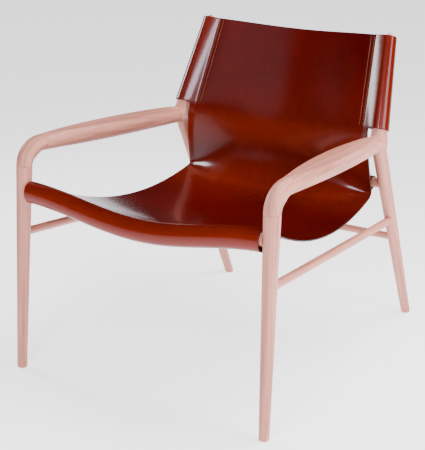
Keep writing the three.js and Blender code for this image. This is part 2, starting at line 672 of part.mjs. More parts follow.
// The whole hide: seat, fold and back in one sheet, with a wing at each side of the back that wraps a post.
function sling() {
  const lower = columnShares().map(lowerColumn);
  const lowerRows = lower[0].length;
  const wingSlots = Array.from({ length: WING_STEPS }, (_, k) => k);
  const grid = [];
  for (let row = 0; row < lowerRows; row += 1) {
    const bare = wingSlots.map(() => null);
    grid.push([...bare, ...lower.map((column) => column[row]), ...bare]);
  }
  for (let step = 0; step <= BACK_STEPS; step += 1) {
    const w = step / BACK_STEPS;
    const right = wingSlots.map((k) => wingPoint(1, k, w));
    const left = wingSlots.map((k) => wingPoint(-1, k, w)).reverse();
    grid.push([...left, ...columnShares().map((s) => backPoint(s, w)), ...right]);
  }
  const isLeather = (row, column) => {
    const inGrid = row >= 0 && column >= 0 && row < grid.length - 1 && column < grid[0].length - 1;
    if (!inGrid) return false;
    const inMiddle = column >= WING_STEPS && column < WING_STEPS + SLING_COLUMNS;
    return row >= lowerRows || inMiddle;
  };
  return sheetFrom(grid, isLeather, LEATHER);
}

// The strap: sewn under the fold, up behind the rear rail, over it and down again in front.
function strap() {
  const columns = Array.from({ length: STRAP_COLUMNS + 1 }, (_, k) => {
    const x = mix(-STRAP_SPREAD / 2, STRAP_SPREAD / 2, k / STRAP_COLUMNS);
    const fold = foldProfile(x / (FOLD_SPREAD / 2));
    const inner = LEATHER / 2 + LAYER_GAP + STRAP_LEATHER / 2;
    const outer = inner + STRAP_LEATHER + LAYER_GAP;
    const tailShare = fold.endShare - STRAP_TAIL / fold.run;
    const tail = (offset, lastStep) => {
      const steps = Array.from({ length: lastStep + 1 }, (_, step) => fold.foldAt(step / FOLD_STEPS));
      return [fold.seatAt(tailShare), ...steps].map((p) => besideProfile(p, offset));
    };
    const rearTail = tail(outer, STRAP_REAR_LEAVES_AT);
    const frontTail = tail(inner, STRAP_FRONT_LEAVES_AT).reverse();
    const radius = (REAR_RAIL_DIAMETER / 2 + GLUE_GAP) * facetEase(STRAP_STEPS) + STRAP_LEATHER / 2;
    const meet = (p, turn) => {
      const away = { y: p.y - rearRailAxis.y, z: p.z - rearRailAxis.z };
      return Math.atan2(away.z, away.y) + turn * Math.acos(radius / Math.hypot(away.y, away.z));
    };
    const from = meet(rearTail[rearTail.length - 1], 1);
    const to = meet(frontTail[0], -1) + 2 * Math.PI;
    const loop = Array.from({ length: STRAP_STEPS + 1 }, (_, step) => {
      const angle = mix(from, to, step / STRAP_STEPS);
      const y = rearRailAxis.y + radius * Math.cos(angle);
      return profilePoint(y, rearRailAxis.z + radius * Math.sin(angle), 0);
    });
    return [...rearTail, ...loop, ...frontTail].map((p) => vec(x, p.y, p.z));
  });
  const grid = columns[0].map((_, row) => columns.map((column) => column[row]));
  const lastRow = grid.length - 1;
  const isLeather = (row, column) => row >= 0 && column >= 0 && row < lastRow && column < STRAP_COLUMNS;
  return sheetFrom(grid, isLeather, STRAP_LEATHER);
}

const chair = new THREE.Group();

function addPiece(name, geometry, look) {
  const mesh = new THREE.Mesh(geometry, new THREE.MeshStandardMaterial(look));
  mesh.name = name;
  chair.add(mesh);
}

const rail = frontRail();
const rearRail = crossRung(rearRailHeight, REAR_RAIL_DIAMETER);
const rearStretcher = crossRung(REAR_STRETCHER_HEIGHT, REAR_STRETCHER_DIAMETER);

for (const [side, hand] of [[1, 'left'], [-1, 'right']]) {
  const { frontJoint, armFront, armRear } = settingOut(side);
  const { legWay, armWay } = cornerWays(side);
  const stretcher = sideStretcher(side);
  const legDowel = dowelAt(frontJoint, legWay);
  const cornerDowel = dowelAt(armFront, armWay);
  const kneeDowel = dowelAt(armRear, armWay);
  const endOf = (rungPiece) => rungPiece.mortises[side > 0 ? 1 : 0];
  addPiece(`front_leg_${hand}`,
    cut(frontLegBody(side), belowFloor(), endOf(rail), stretcher.mortises[0], legDowel.hole), WOOD);
  addPiece(`arm_corner_${hand}`, cut(cornerBody(side), legDowel.hole, cornerDowel.hole), WOOD);
  addPiece(`armrest_${hand}`, cut(armBody(side), cornerDowel.hole, kneeDowel.hole), WOOD);
  addPiece(`rear_leg_${hand}`, cut(join(rearLegBody(side), kneeBoss(side)), belowFloor(), kneeDowel.hole,
    endOf(rearRail), endOf(rearStretcher), stretcher.mortises[1]), WOOD);
  addPiece(`side_stretcher_${hand}`, stretcher.solid, WOOD);
  addPiece(`leg_dowel_${hand}`, legDowel.solid, DOWEL_WOOD);
  addPiece(`corner_dowel_${hand}`, cornerDowel.solid, DOWEL_WOOD);
  addPiece(`knee_dowel_${hand}`, kneeDowel.solid, DOWEL_WOOD);
}

addPiece('front_rail', rail.solid, WOOD);
addPiece('rear_rail', rearRail.solid, WOOD);
addPiece('rear_stretcher', rearStretcher.solid, WOOD);
addPiece('leather_sling', sling(), HIDE);
addPiece('rear_rail_strap', strap(), HIDE);

export default chair;
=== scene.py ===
"""Dresses the leather sling lounge chair and sets it in a pale studio.

The wooden pieces are turned along the same lines as the part's solids, and the hide and its strap
follow the same profiles in finer steps. All lengths are metres unless a name says otherwise.
"""

import logging
import math
from collections.abc import Iterator
from contextlib import contextmanager
from dataclasses import dataclass, field
from enum import Enum

import bpy
import numpy as np
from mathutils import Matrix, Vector


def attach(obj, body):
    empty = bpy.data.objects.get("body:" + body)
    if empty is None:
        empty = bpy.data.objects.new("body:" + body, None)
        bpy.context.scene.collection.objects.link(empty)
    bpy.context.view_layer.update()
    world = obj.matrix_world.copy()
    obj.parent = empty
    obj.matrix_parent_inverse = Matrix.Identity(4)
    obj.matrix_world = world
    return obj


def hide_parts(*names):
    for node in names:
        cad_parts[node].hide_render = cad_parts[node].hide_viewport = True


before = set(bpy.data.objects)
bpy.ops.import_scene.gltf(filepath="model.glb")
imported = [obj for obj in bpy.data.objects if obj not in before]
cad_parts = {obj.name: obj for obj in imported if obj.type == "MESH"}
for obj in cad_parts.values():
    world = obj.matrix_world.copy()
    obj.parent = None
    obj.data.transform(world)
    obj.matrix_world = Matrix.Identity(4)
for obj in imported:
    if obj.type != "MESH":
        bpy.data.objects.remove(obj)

LOG = logging.getLogger("chair")
MM = 0.001
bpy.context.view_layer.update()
Point = np.ndarray
Value = float | np.ndarray
Socket = bpy.types.NodeSocket
Feed = Socket | float | tuple


class Side(Enum):
    """The two sides of the chair, as its sitter sees them, by the sign of X."""

    LEFT = 1
    RIGHT = -1

    @property
    def hand(self) -> str:
        """The word that names of nodes end in."""
        return self.name.lower()


class Slot(Enum):
    """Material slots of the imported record."""

    FRAME_WOOD = "frame_wood"
    HIDE = "hide"


def vec(x: float, y: float, z: float) -> Point:
    """A point or direction as an array."""
    return np.array((x, y, z), dtype=float)


def unit(way: Point) -> Point:
    """The direction of a vector."""
    return way / np.linalg.norm(way)


def mix(start: Value, end: Value, share: Value) -> Value:
    """The value a share of the way from start to end."""
    return start + (end - start) * share


def bend(first: Point, corner: Point, last: Point, share: Value) -> Point:
    """A point of the curve that leaves one point for a corner and arrives at the last from it."""
    return mix(mix(first, corner, share), mix(corner, last, share), share)


def run_lengths(points: np.ndarray) -> np.ndarray:
    """How far along a line of points each of them lies."""
    steps = np.linalg.norm(np.diff(points, axis=0), axis=1)
    return np.concatenate(([0.0], np.cumsum(steps)))


def read_line(at: Value, lengths: np.ndarray, rows: np.ndarray) -> np.ndarray:
    """Rows of three values along a line, read at one or more lengths."""
    return np.stack([np.interp(at, lengths, rows[:, k]) for k in range(3)], axis=-1)


def cross_axes(tangent: Point) -> tuple[Point, Point]:
    """Two unit directions square to a tangent, as the part's own source picks them.

    Args:
        tangent: unit direction.

    Returns:
        The side direction and the direction square to both.
    """
    nearly_along = 0.9
    reference = vec(0, 1, 0) if abs(tangent[0]) > nearly_along else vec(1, 0, 0)
    side = unit(reference - tangent * reference.dot(tangent))
    return side, np.cross(tangent, side)


def deselect_all() -> None:
    """Leaves nothing selected."""
    bpy.ops.object.select_all(action="DESELECT")


def select_only(obj: bpy.types.Object) -> None:
    """Selects one object and makes it active.

    Args:
        obj: the object.
    """
    deselect_all()
    obj.select_set(True)
    bpy.context.view_layer.objects.active = obj


@contextmanager
def edit_mode(obj: bpy.types.Object) -> Iterator[None]:
    """Opens a mesh in edit mode with all of it selected, and closes it again.

    Args:
        obj: the mesh object.

    Yields:
        Nothing; the operators between work on the whole mesh.
    """
    select_only(obj)
    bpy.ops.object.mode_set(mode="EDIT")
    bpy.ops.mesh.select_all(action="SELECT")
    yield
    bpy.ops.object.mode_set(mode="OBJECT")


def apply_modifier(obj: bpy.types.Object, kind: str, **values) -> None:
    """Adds a modifier with the given values and applies it.

    Args:
        obj: object to change.
        kind: modifier type.
        values: settings of the modifier by name.
    """
    select_only(obj)
    modifier = obj.modifiers.new(kind.lower(), kind)
    for key, value in values.items():
        setattr(modifier, key, value)
    bpy.ops.object.modifier_apply(modifier=modifier.name)


def smooth_shading(obj: bpy.types.Object, degrees: float) -> None:
    """Shades an object smooth up to an angle."""
    select_only(obj)
    bpy.ops.object.shade_smooth_by_angle(angle=math.radians(degrees))


def mesh_points(obj: bpy.types.Object) -> np.ndarray:
    """Reads all vertices of a mesh.

    Args:
        obj: the mesh object.

    Returns:
        A row of three for each vertex.
    """
    points = np.zeros(len(obj.data.vertices) * 3)
    obj.data.vertices.foreach_get("co", points)
    return points.reshape(-1, 3)


def set_mesh_points(obj: bpy.types.Object, points: np.ndarray) -> None:
    """Moves all vertices of a mesh object to the given rows."""
    obj.data.vertices.foreach_set("co", points.ravel())
    obj.data.update()


def set_attribute(obj: bpy.types.Object, name: str, values: np.ndarray) -> None:
    """Stores one number or one vector for each vertex.

    Args:
        obj: mesh object.
        name: the attribute's name.
        values: a row of numbers, or rows of three.
    """
    is_vector = values.ndim == 2
    kind, key = ("FLOAT_VECTOR", "vector") if is_vector else ("FLOAT", "value")
    attribute = obj.data.attributes.new(name, kind, "POINT")
    attribute.data.foreach_set(key, np.ascontiguousarray(values, dtype=np.float32).ravel())


@dataclass(frozen=True)
class FrameLines:
    """Lines and diameters that the wooden frame is set out on, for one side."""

    side: int
    foot_to_foot: float = 827 * MM
    front_foot_spread: float = 678 * MM
    rear_foot_spread: float = 556 * MM
    foot_diameter: float = 23.5 * MM
    front_joint_height: float = 493 * MM
    front_joint_spread: float = 663 * MM
    front_leg_rake: float = 33 * MM
    front_leg_top_diameter: float = 37.5 * MM
    corner_reach: float = 62 * MM
    corner_rise: float = 44 * MM
    arm_front_spread: float = 657 * MM
    arm_rear_drop: float = 2.5 * MM
    knee_height: float = 515 * MM
    knee_spread: float = 574 * MM
    knee_setback: float = 227.5 * MM
    knee_bend: float = 28 * MM
    boss_reach: float = 28 * MM
    rear_leg_top_diameter: float = 36 * MM
    post_height: float = 760 * MM
    post_top_spread: float = 514 * MM
    post_rake: float = 102.5 * MM

    @property
    def front_foot(self) -> Point:
        """Middle of the front foot on the floor."""
        return vec(self.side * self.front_foot_spread / 2, -self.foot_to_foot / 2, 0)

    @property
    def front_joint(self) -> Point:
        """Where the front leg meets the bent corner."""
        y = self.front_foot[1] + self.front_leg_rake
        return vec(self.side * self.front_joint_spread / 2, y, self.front_joint_height)

    @property
    def arm_front(self) -> Point:
        """Where the bent corner meets the armrest."""
        joint = self.front_joint + vec(0, self.corner_reach, self.corner_rise)
        return vec(self.side * self.arm_front_spread / 2, joint[1], joint[2])

    @property
    def rear_foot(self) -> Point:
        """Middle of the rear foot on the floor."""
        return vec(self.side * self.rear_foot_spread / 2, self.foot_to_foot / 2, 0)

    @property
    def knee(self) -> Point:
        """Where the lines of the rear leg and the back post meet."""
        y = self.rear_foot[1] - self.knee_setback
        return vec(self.side * self.knee_spread / 2, y, self.knee_height)

    @property
    def post_top(self) -> Point:
        """Top of the back post."""
        y = self.knee[1] + self.post_rake
        return vec(self.side * self.post_top_spread / 2, y, self.post_height)

    @property
    def front_leg_way(self) -> Point:
        """Direction up the front leg."""
        return unit(self.front_joint - self.front_foot)

    @property
    def rear_leg_way(self) -> Point:
        """Direction up the rear leg."""
        return unit(self.knee - self.rear_foot)

    @property
    def post_way(self) -> Point:
        """Direction up the back post."""
        return unit(self.post_top - self.knee)

    def bend_point(self, share: float) -> Point:
        """The knee's eased line between the leg and the post, at a share of it."""
        below, above = self.rear_leg_way * self.knee_bend, self.post_way * self.knee_bend
        return bend(self.knee - below, self.knee, self.knee + above, share)

    def bend_way(self, share: float) -> Point:
        """Direction of the knee's eased line, at a share of it."""
        return unit(mix(self.rear_leg_way, self.post_way, share))

    @property
    def arm_rear(self) -> Point:
        """Where the armrest meets the boss on the knee."""
        y = self.bend_point(0.5)[1] - self.boss_reach
        return vec(self.knee[0], y, self.knee_height - self.arm_rear_drop)

    @property
    def arm_way(self) -> Point:
        """Direction along the armrest, towards the back."""
        return unit(self.arm_rear - self.arm_front)

    def front_leg_at(self, height: float) -> Point:
        """The front leg's middle at a height."""
        return mix(self.front_foot, self.front_joint, height / self.front_joint_height)

    def rear_leg_at(self, height: float) -> Point:
        """The rear leg's middle at a height."""
        return mix(self.rear_foot, self.knee, height / self.knee_height)

    def front_leg_diameter(self, height: float) -> float:
        """The front leg's diameter at a height."""
        share = height / self.front_joint_height
        return mix(self.foot_diameter, self.front_leg_top_diameter, share)

    def rear_leg_diameter(self, height: float) -> float:
        """The rear leg's diameter at a height."""
        return mix(self.foot_diameter, self.rear_leg_top_diameter, height / self.knee_height)


@dataclass
class Ring:
    """One section of a turned piece: an oval or soft square, square to its tangent."""

    centre: Point
    tangent: Point
    width: float
    depth: float = 0.0
    power: float = 2.0

    def __post_init__(self) -> None:
        """A ring without a depth is round."""
        self.depth = self.depth or self.width

    def moved(self, along: float, shrink: float) -> "Ring":
        """A copy in another place, at another size.

        Args:
            along: how far it stands along the tangent.
            shrink: how much smaller it is all round.

        Returns:
            The copy.
        """
        centre = self.centre + self.tangent * along
        width, depth = self.width - 2 * shrink, self.depth - 2 * shrink
        return Ring(centre, self.tangent, width, depth, self.power)


def rounded_end(ring: Ring, radius: float, outward: int) -> list[Ring]:
    """Rings that round the rim of an end.

    Args:
        ring: the end's own ring, at its full size.
        radius: radius of the rounding.
        outward: 1 where the end faces along the tangent, -1 where it faces back.

    Returns:
        Rings from the full section to the end's flat, in the order of outward travel.
    """
    steps = 4
    rings = []
    for step in range(steps + 1):
        angle = math.pi / 2 * step / steps
        along = -outward * radius * (1 - math.sin(angle))
        rings.append(ring.moved(along, radius * (1 - math.cos(angle))))
    return rings


def ease_ends(rings: list[Ring], first: float, last: float) -> list[Ring]:
    """Rounds the rims of both ends.

    Args:
        rings: sections in order, the first and last at their full size.
        first: radius of the rounding at the first ring.
        last: radius of the rounding at the last ring.

    Returns:
        The sections with the rings of both roundings.
    """
    start, end = rounded_end(rings[0], first, -1)[::-1], rounded_end(rings[-1], last, 1)
    return start + rings[1:-1] + end


def turned(name: str, rings: list[Ring], sides: int) -> bpy.types.Object:
    """Turns a piece from a circle that is extruded and resized, and leads it along its line.

    Args:
        name: name of the new object.
        rings: its sections in order.
        sides: points of each section.

    Returns:
        The closed mesh object.
    """
    pitch = 0.01
    deselect_all()
    bpy.ops.mesh.primitive_circle_add(vertices=sides, radius=0.5, fill_type="NOTHING")
    obj = bpy.context.object
    obj.name = obj.data.name = name
    width, depth = 1.0, 1.0
    with edit_mode(obj):
        for number, ring in enumerate(rings):
            if number:
                bpy.ops.mesh.extrude_region_move(TRANSFORM_OT_translate={"value": (0, 0, pitch)})
            scale = (ring.width / width, ring.depth / depth, 1)
            bpy.ops.transform.resize(value=scale, center_override=(0, 0, pitch * number))
            width, depth = ring.width, ring.depth
        bpy.ops.mesh.select_all(action="SELECT")
        bpy.ops.mesh.fill_holes(sides=0)
    points = mesh_points(obj)
    places = np.rint(points[:, 2] / pitch).astype(int)
    led = np.zeros_like(points)
    for number, ring in enumerate(rings):
        here = places == number
        across, up = cross_axes(ring.tangent)
        half = np.array((ring.width, ring.depth)) / 2
        share = points[here, :2] / half
        share = np.sign(share) * np.abs(share) ** (2 / ring.power) * half
        led[here] = ring.centre + np.outer(share[:, 0], across) + np.outer(share[:, 1], up)
    set_mesh_points(obj, led)
    make_outward(obj)
    return obj


def make_outward(obj: bpy.types.Object) -> None:
    """Turns all faces of a closed mesh outward."""
    with edit_mode(obj):
        bpy.ops.mesh.normals_make_consistent(inside=False)


def mark_grain(obj: bpy.types.Object, rings: list[Ring], offset: float) -> None:
    """Stores for each vertex its place across and along the wood, for the finish to use.

    Args:
        obj: finished mesh of a wooden piece.
        rings: the sections that the piece was turned from.
        offset: moves the grain, so that no two pieces look alike.
    """
    samples = 160
    centres = np.array([ring.centre for ring in rings])
    tangents = np.array([ring.tangent for ring in rings])
    lengths = run_lengths(centres)
    dense = np.linspace(0, lengths[-1], samples)
    line = read_line(dense, lengths, centres)
    ways = read_line(dense, lengths, tangents)
    points = mesh_points(obj)
    nearest = np.argmin(((points[:, None, :] - line[None]) ** 2).sum(axis=2), axis=1)
    axes = np.array([(*cross_axes(unit(way)), way) for way in ways])[nearest]
    away = points - line[nearest]
    grain = np.einsum("ij,ikj->ik", away, axes)
    grain[:, 2] += dense[nearest]
    set_attribute(obj, "grain", grain + offset)


class NodeTree:
    """Adds nodes to a tree with short calls."""

    def __init__(self, tree: bpy.types.NodeTree) -> None:
        """Takes the tree.

        Args:
            tree: where the nodes go.
        """
        self.tree = tree

    def add(self, kind: str, values: dict | None = None, **properties) -> bpy.types.Node:
        """Adds a node.

        Args:
            kind: the node's type.
            values: input name or number to a value, or to the socket that feeds it.
            properties: the node's own settings.

        Returns:
            The new node.
        """
        node = self.tree.nodes.new(kind)
        for key, value in properties.items():
            setattr(node, key, value)
        for key, value in (values or {}).items():
            self.feed(node.inputs[key], value)
        return node

    def feed(self, socket: Socket, value: Feed) -> None:
        """Gives a socket its value.

        Args:
            socket: the input to feed.
            value: another node's output, or a plain value.
        """
        if isinstance(value, Socket):
            self.tree.links.new(value, socket)
        else:
            socket.default_value = value

    def noise(self, place: Socket, scale: float | tuple, detail: float = 3,
              rough: float = 0.5) -> Socket:
        """Noise between 0 and 1.

        Args:
            place: the coordinates that it is read at.
            scale: one factor for the coordinates, or one for each axis.
            detail: layers of finer noise.
            rough: how strong each finer layer is.

        Returns:
            The noise.
        """
        if isinstance(scale, tuple):
            place = self.add("ShaderNodeMapping", {"Vector": place, "Scale": scale}).outputs[0]
            scale = 1
        values = {"Vector": place, "Scale": scale, "Detail": detail, "Roughness": rough}
        return self.add("ShaderNodeTexNoise", values).outputs[0]

    def math(self, operation: str, first: Feed, second: Feed = 0.0, clamp: bool = False) -> Socket:
        """The result of one sum, kept between 0 and 1 where clamp is set."""
        values = {0: first, 1: second}
        return self.add("ShaderNodeMath", values, operation=operation, use_clamp=clamp).outputs[0]

    def total(self, *values: Socket) -> Socket:
        """The sum of several values.

        Args:
            values: what is added up.

        Returns:
            The sum.
        """
        total = values[0]
        for value in values[1:]:
            total = self.math("ADD", total, value)
        return total

    def span(self, value: Socket, low: float, high: float, to_low: float = 0, to_high: float = 1,
             ease: str = "LINEAR") -> Socket:
        """A value's range led to another range, clamped; ease says how it goes between."""
        values = {"Value": value, 1: low, 2: high, 3: to_low, 4: to_high}
        return self.add("ShaderNodeMapRange", values, interpolation_type=ease).outputs[0]

    def blend(self, share: Feed, first: Feed, second: Feed) -> Socket:
        """Two colours mixed by a share."""
        values = {0: share, 6: first, 7: second}
        return self.add("ShaderNodeMix", values, data_type="RGBA", blend_type="MIX").outputs[2]

    def bump(self, height: Socket, distance: float, strength: float = 1.0,
             normal: Socket | None = None) -> Socket:
        """A bumped normal.

        Args:
            height: height between 0 and 1.
            distance: what a height of 1 stands for.
            strength: share of the bump that shows.
            normal: the normal that it is laid on, where there is one.

        Returns:
            The new normal.
        """
        values = {"Height": height, "Distance": distance, "Strength": strength}
        if normal is not None:
            values["Normal"] = normal
        return self.add("ShaderNodeBump", values).outputs[0]


class Nodes(NodeTree):
    """The nodes of a new material."""

    def __init__(self, name: str) -> None:
        """Starts a material with its shader node alone.

        Args:
            name: name of the material.
        """
        self.material = bpy.data.materials.new(name)
        self.material.use_nodes = True
        super().__init__(self.material.node_tree)
        self.shader = self.tree.nodes["Principled BSDF"]

    def attribute(self, name: str, output: str) -> Socket:
        """The output of an attribute stored on the mesh."""
        return self.add("ShaderNodeAttribute", attribute_name=name).outputs[output]

    def place(self) -> Socket:
        """The piece's own coordinates."""
        return self.add("ShaderNodeTexCoord").outputs["Object"]

    def finish(self, **inputs: Feed) -> bpy.types.Material:
        """Feeds the shader.

        Args:
            inputs: values by the input's name, with _ for a space.

        Returns:
            The material.
        """
        for key, value in inputs.items():
            self.feed(self.shader.inputs[key.replace("_", " ")], value)
        return self.material


@dataclass(frozen=True)
class WoodFinish:
    """Pale wood with a fine straight grain, soaped and matt.

    Scales are across, up and along the wood. A span is the part of a noise that counts, and what
    it leads to where that isn't 0 to 1.
    """

    name: str = "pale_wood"
    light: tuple = (0.66, 0.285, 0.205, 1)
    dark: tuple = (0.34, 0.105, 0.066, 1)
    pore: tuple = (0.13, 0.036, 0.022, 1)
    warp_scale: tuple = (14, 14, 3)
    warp_reach: float = 12 * MM
    broad_scale: tuple = (95, 60, 2.6)
    broad_span: tuple = (0.42, 0.66, -0.2, 0.7)
    band_scale: tuple = (230, 90, 2.2)
    band_span: tuple = (0.35, 0.7)
    cloud_scale: tuple = (9, 9, 4)
    cloud_span: tuple = (0.3, 0.8, 0, 0.5)
    darkening: float = 0.55
    streak_scale: tuple = (1300, 1300, 9)
    streak_span: tuple = (0.45, 0.75, 0, 0.35)
    pore_scale: tuple = (2600, 2600, 70)
    pore_span: tuple = (0.62, 0.74)
    pore_band_span: tuple = (0.4, 0.6)
    pore_share: float = 0.45
    pore_depth: float = 0.6
    knot_share: float = 0.75
    roughness_span: tuple = (0.3, 0.7, 0.44, 0.6)
    relief: float = 0.12 * MM
    relief_strength: float = 0.5

    def material(self) -> bpy.types.Material:
        """The finish as a procedural material over the grain attribute.

        Returns:
            The material.
        """
        nodes = Nodes(self.name)
        grain = nodes.attribute("grain", "Vector")
        warp = nodes.math("MULTIPLY", nodes.noise(grain, self.warp_scale, detail=2),
                          self.warp_reach)
        shift = nodes.add("ShaderNodeCombineXYZ", {"X": warp}).outputs[0]
        sway = nodes.add("ShaderNodeVectorMath", {0: grain, 1: shift}, operation="ADD").outputs[0]
        broad = nodes.noise(sway, self.broad_scale, rough=0.55)
        bands = nodes.noise(sway, self.band_scale, rough=0.6)
        streaks = nodes.noise(sway, self.streak_scale, rough=0.6)
        pores = nodes.noise(grain, self.pore_scale, detail=1)
        cloud = nodes.noise(grain, self.cloud_scale, detail=2)
        depth = nodes.total(nodes.span(bands, *self.band_span),
                            nodes.span(cloud, *self.cloud_span),
                            nodes.span(broad, *self.broad_span))
        dark = nodes.math("MULTIPLY", depth, self.darkening, True)
        body = nodes.blend(dark, self.light, self.dark)
        fine = nodes.blend(nodes.span(streaks, *self.streak_span), body, self.dark)
        fleck = nodes.math("MULTIPLY", nodes.span(pores, *self.pore_span),
                           nodes.span(bands, *self.pore_band_span))
        flecked = nodes.blend(nodes.math("MULTIPLY", fleck, self.pore_share), fine, self.pore)
        knot = nodes.math("MULTIPLY", nodes.attribute("knot", "Fac"), self.knot_share)
        height = nodes.math("SUBTRACT", streaks, nodes.math("MULTIPLY", fleck, self.pore_depth))
        return nodes.finish(
            Base_Color=nodes.blend(knot, flecked, self.pore),
            Roughness=nodes.span(streaks, *self.roughness_span),
            Normal=nodes.bump(height, self.relief, self.relief_strength),
        )


@dataclass(frozen=True)
class LeatherFinish:
    """Thick vegetable-tanned hide, dyed oxblood and polished.

    A span is what the counted part of a noise leads to. The rows of stitches and the reach of
    their dips are millimetres from the seam.
    """

    name: str
    deep: tuple = (0.034, 0.0002, 0.0002, 1)
    middle: tuple = (0.085, 0.0006, 0.0004, 1)
    # a lighter orange-brown, laid on partly as wear and partly as painted light
    warm: tuple = (0.24, 0.018, 0.0016, 1)
    rows: tuple = ()
    roughness: float = 0.26
    roughness_reach: tuple = (-0.05, 0.01)
    roughness_counted: tuple = (0.2, 0.8)
    counted: tuple = (0.1, 0.9)
    cloud_scale: float = 5
    cloud_span: tuple = (-0.35, 1.05)
    cloud_warmth: tuple = (0, 0.08)
    mottle_scale: float = 46
    mottle_span: tuple = (-0.3, 0.6)
    mottle_warmth: tuple = (0.7, 1.1)
    streak_scale: tuple = (90, 7, 1)
    streak_span: tuple = (-0.3, 0.6)
    lightening: float = 0.55
    pore_scale: float = 1500
    pore_share: float = 0.5
    grain_scale: float = 420
    grain_relief: float = 0.09 * MM
    grain_strength: float = 0.04
    wave_scale: tuple = (6, 6, 1)
    wave_relief: float = 2.5 * MM
    wave_strength: float = 0.35
    dip_reach: float = 1.8
    dip_relief: float = 0.5 * MM
    dip_strength: float = 0.4
    specular: float = 0.16
    coat: float = 0.22
    coat_roughness: float = 0.11

    def colour(self, nodes: Nodes, hide: Socket, cloud: Socket) -> Socket:
        """The dye: deep and cloudy, and warmer where the hide is worn and where light and
        highlights are painted on it.

        Args:
            nodes: the material's nodes.
            hide: place on the hide.
            cloud: the broadest noise.

        Returns:
            The colour.
        """
        mottle = nodes.noise(hide, self.mottle_scale, detail=5, rough=0.6)
        streaks = nodes.noise(hide, self.streak_scale, detail=4, rough=0.6)
        light = nodes.total(nodes.span(cloud, *self.counted, *self.cloud_span),
                            nodes.span(mottle, *self.counted, *self.mottle_span),
                            nodes.span(streaks, *self.counted, *self.streak_span))
        share = nodes.math("MULTIPLY", light, self.lightening, True)
        # the tone attribute paints the warmer colour on the front roll, sleeves, fold and lumbar
        # run, partly as wear and partly as painted light and highlight
        worn_and_lit = nodes.math("ADD", nodes.attribute("tone", "Fac"),
                          nodes.span(cloud, *self.counted, *self.cloud_warmth), True)
        warmth = nodes.math("MULTIPLY", worn_and_lit,
                            nodes.span(mottle, *self.counted, *self.mottle_warmth))
        return nodes.blend(warmth, nodes.blend(share, self.deep, self.middle), self.warm)

    def normal(self, nodes: Nodes, hide: Socket) -> Socket:
        """The relief: fine grain, slow waves and a dip under each row of stitches.

        Args:
            nodes: the material's nodes.
            hide: place on the hide.

        Returns:
            The normal.
        """
        pores = nodes.noise(hide, self.pore_scale, detail=2, rough=0.6)
        grain = nodes.noise(hide, self.grain_scale, rough=0.55)
        fine = nodes.math("ADD", nodes.math("MULTIPLY", pores, self.pore_share), grain)
        normal = nodes.bump(fine, self.grain_relief, self.grain_strength)
        wave = nodes.noise(hide, self.wave_scale, detail=2)
        normal = nodes.bump(wave, self.wave_relief, self.wave_strength, normal)
        across = nodes.attribute("across", "Fac")
        sewn = nodes.attribute("sewn", "Fac")
        for row in self.rows:
            away = nodes.math("ABSOLUTE", nodes.math("SUBTRACT", across, row))
            dip = nodes.math("MULTIPLY", nodes.span(away, 0.0, self.dip_reach, 1, 0), sewn)
            left = nodes.math("SUBTRACT", 1, dip)
            normal = nodes.bump(left, self.dip_relief, self.dip_strength, normal)
        return normal

    def material(self) -> bpy.types.Material:
        """The finish as a procedural material over the attributes of the sheet.

        Returns:
            The material.
        """
        nodes = Nodes(self.name)
        hide = nodes.attribute("hide", "Vector")
        cloud = nodes.noise(hide, self.cloud_scale, detail=2)
        normal = self.normal(nodes, hide)
        low, high = (self.roughness + reach for reach in self.roughness_reach)
        return nodes.finish(
            Base_Color=self.colour(nodes, hide, cloud),
            Roughness=nodes.span(cloud, *self.roughness_counted, low, high),
            Normal=normal,
            Specular_IOR_Level=self.specular,
            Coat_Weight=self.coat,
            Coat_Roughness=self.coat_roughness,
            Coat_Normal=normal,
        )


@dataclass(frozen=True)
class FibreFinish:
    """Two near colours over one fine noise in the piece's own coordinates.

    The roughness runs from its first value to its last over the counted part of the noise.
    """

    name: str
    first: tuple
    second: tuple
    roughness: tuple
    scale: float | tuple
    detail: float = 3
    rough: float = 0.5
    relief: float = 0.0
    counted: tuple = (0.2, 0.8)

    def material(self) -> bpy.types.Material:
        """The finish as a procedural material in the object's own coordinates.

        Returns:
            The material.
        """
        nodes = Nodes(self.name)
        fibre = nodes.noise(nodes.place(), self.scale, self.detail, self.rough)
        inputs = {"Base_Color": nodes.blend(fibre, self.first, self.second),
                  "Roughness": nodes.span(fibre, *self.counted, *self.roughness)}
        if self.relief:
            inputs["Normal"] = nodes.bump(fibre, self.relief)
        return nodes.finish(**inputs)


@dataclass(frozen=True)
class DowelFinish(FibreFinish):
    """Plain turned beech for the pins inside the joints."""

    name: str = "dowel_wood"
    first: tuple = (0.64, 0.44, 0.28, 1)
    second: tuple = (0.5, 0.31, 0.18, 1)
    roughness: tuple = (0.55, 0.7)
    scale: tuple = (700, 700, 60)


@dataclass(frozen=True)
class CutEdgeFinish(FibreFinish):
    """The dark, burnished cut edges of the hide."""

    name: str = "cut_edge"
    first: tuple = (0.010, 0.004, 0.004, 1)
    second: tuple = (0.035, 0.010, 0.008, 1)
    roughness: tuple = (0.4, 0.6)
    scale: float = 900
    rough: float = 0.7
    relief: float = 0.1 * MM


@dataclass(frozen=True)
class ThreadFinish(FibreFinish):
    """Waxed tan thread with a twist."""

    name: str = "waxed_thread"
    first: tuple = (0.30, 0.085, 0.04, 1)
    second: tuple = (0.46, 0.17, 0.085, 1)
    roughness: tuple = (0.6, 0.75)
    scale: tuple = (900, 900, 2600)
    detail: float = 1
    relief: float = 0.2 * MM


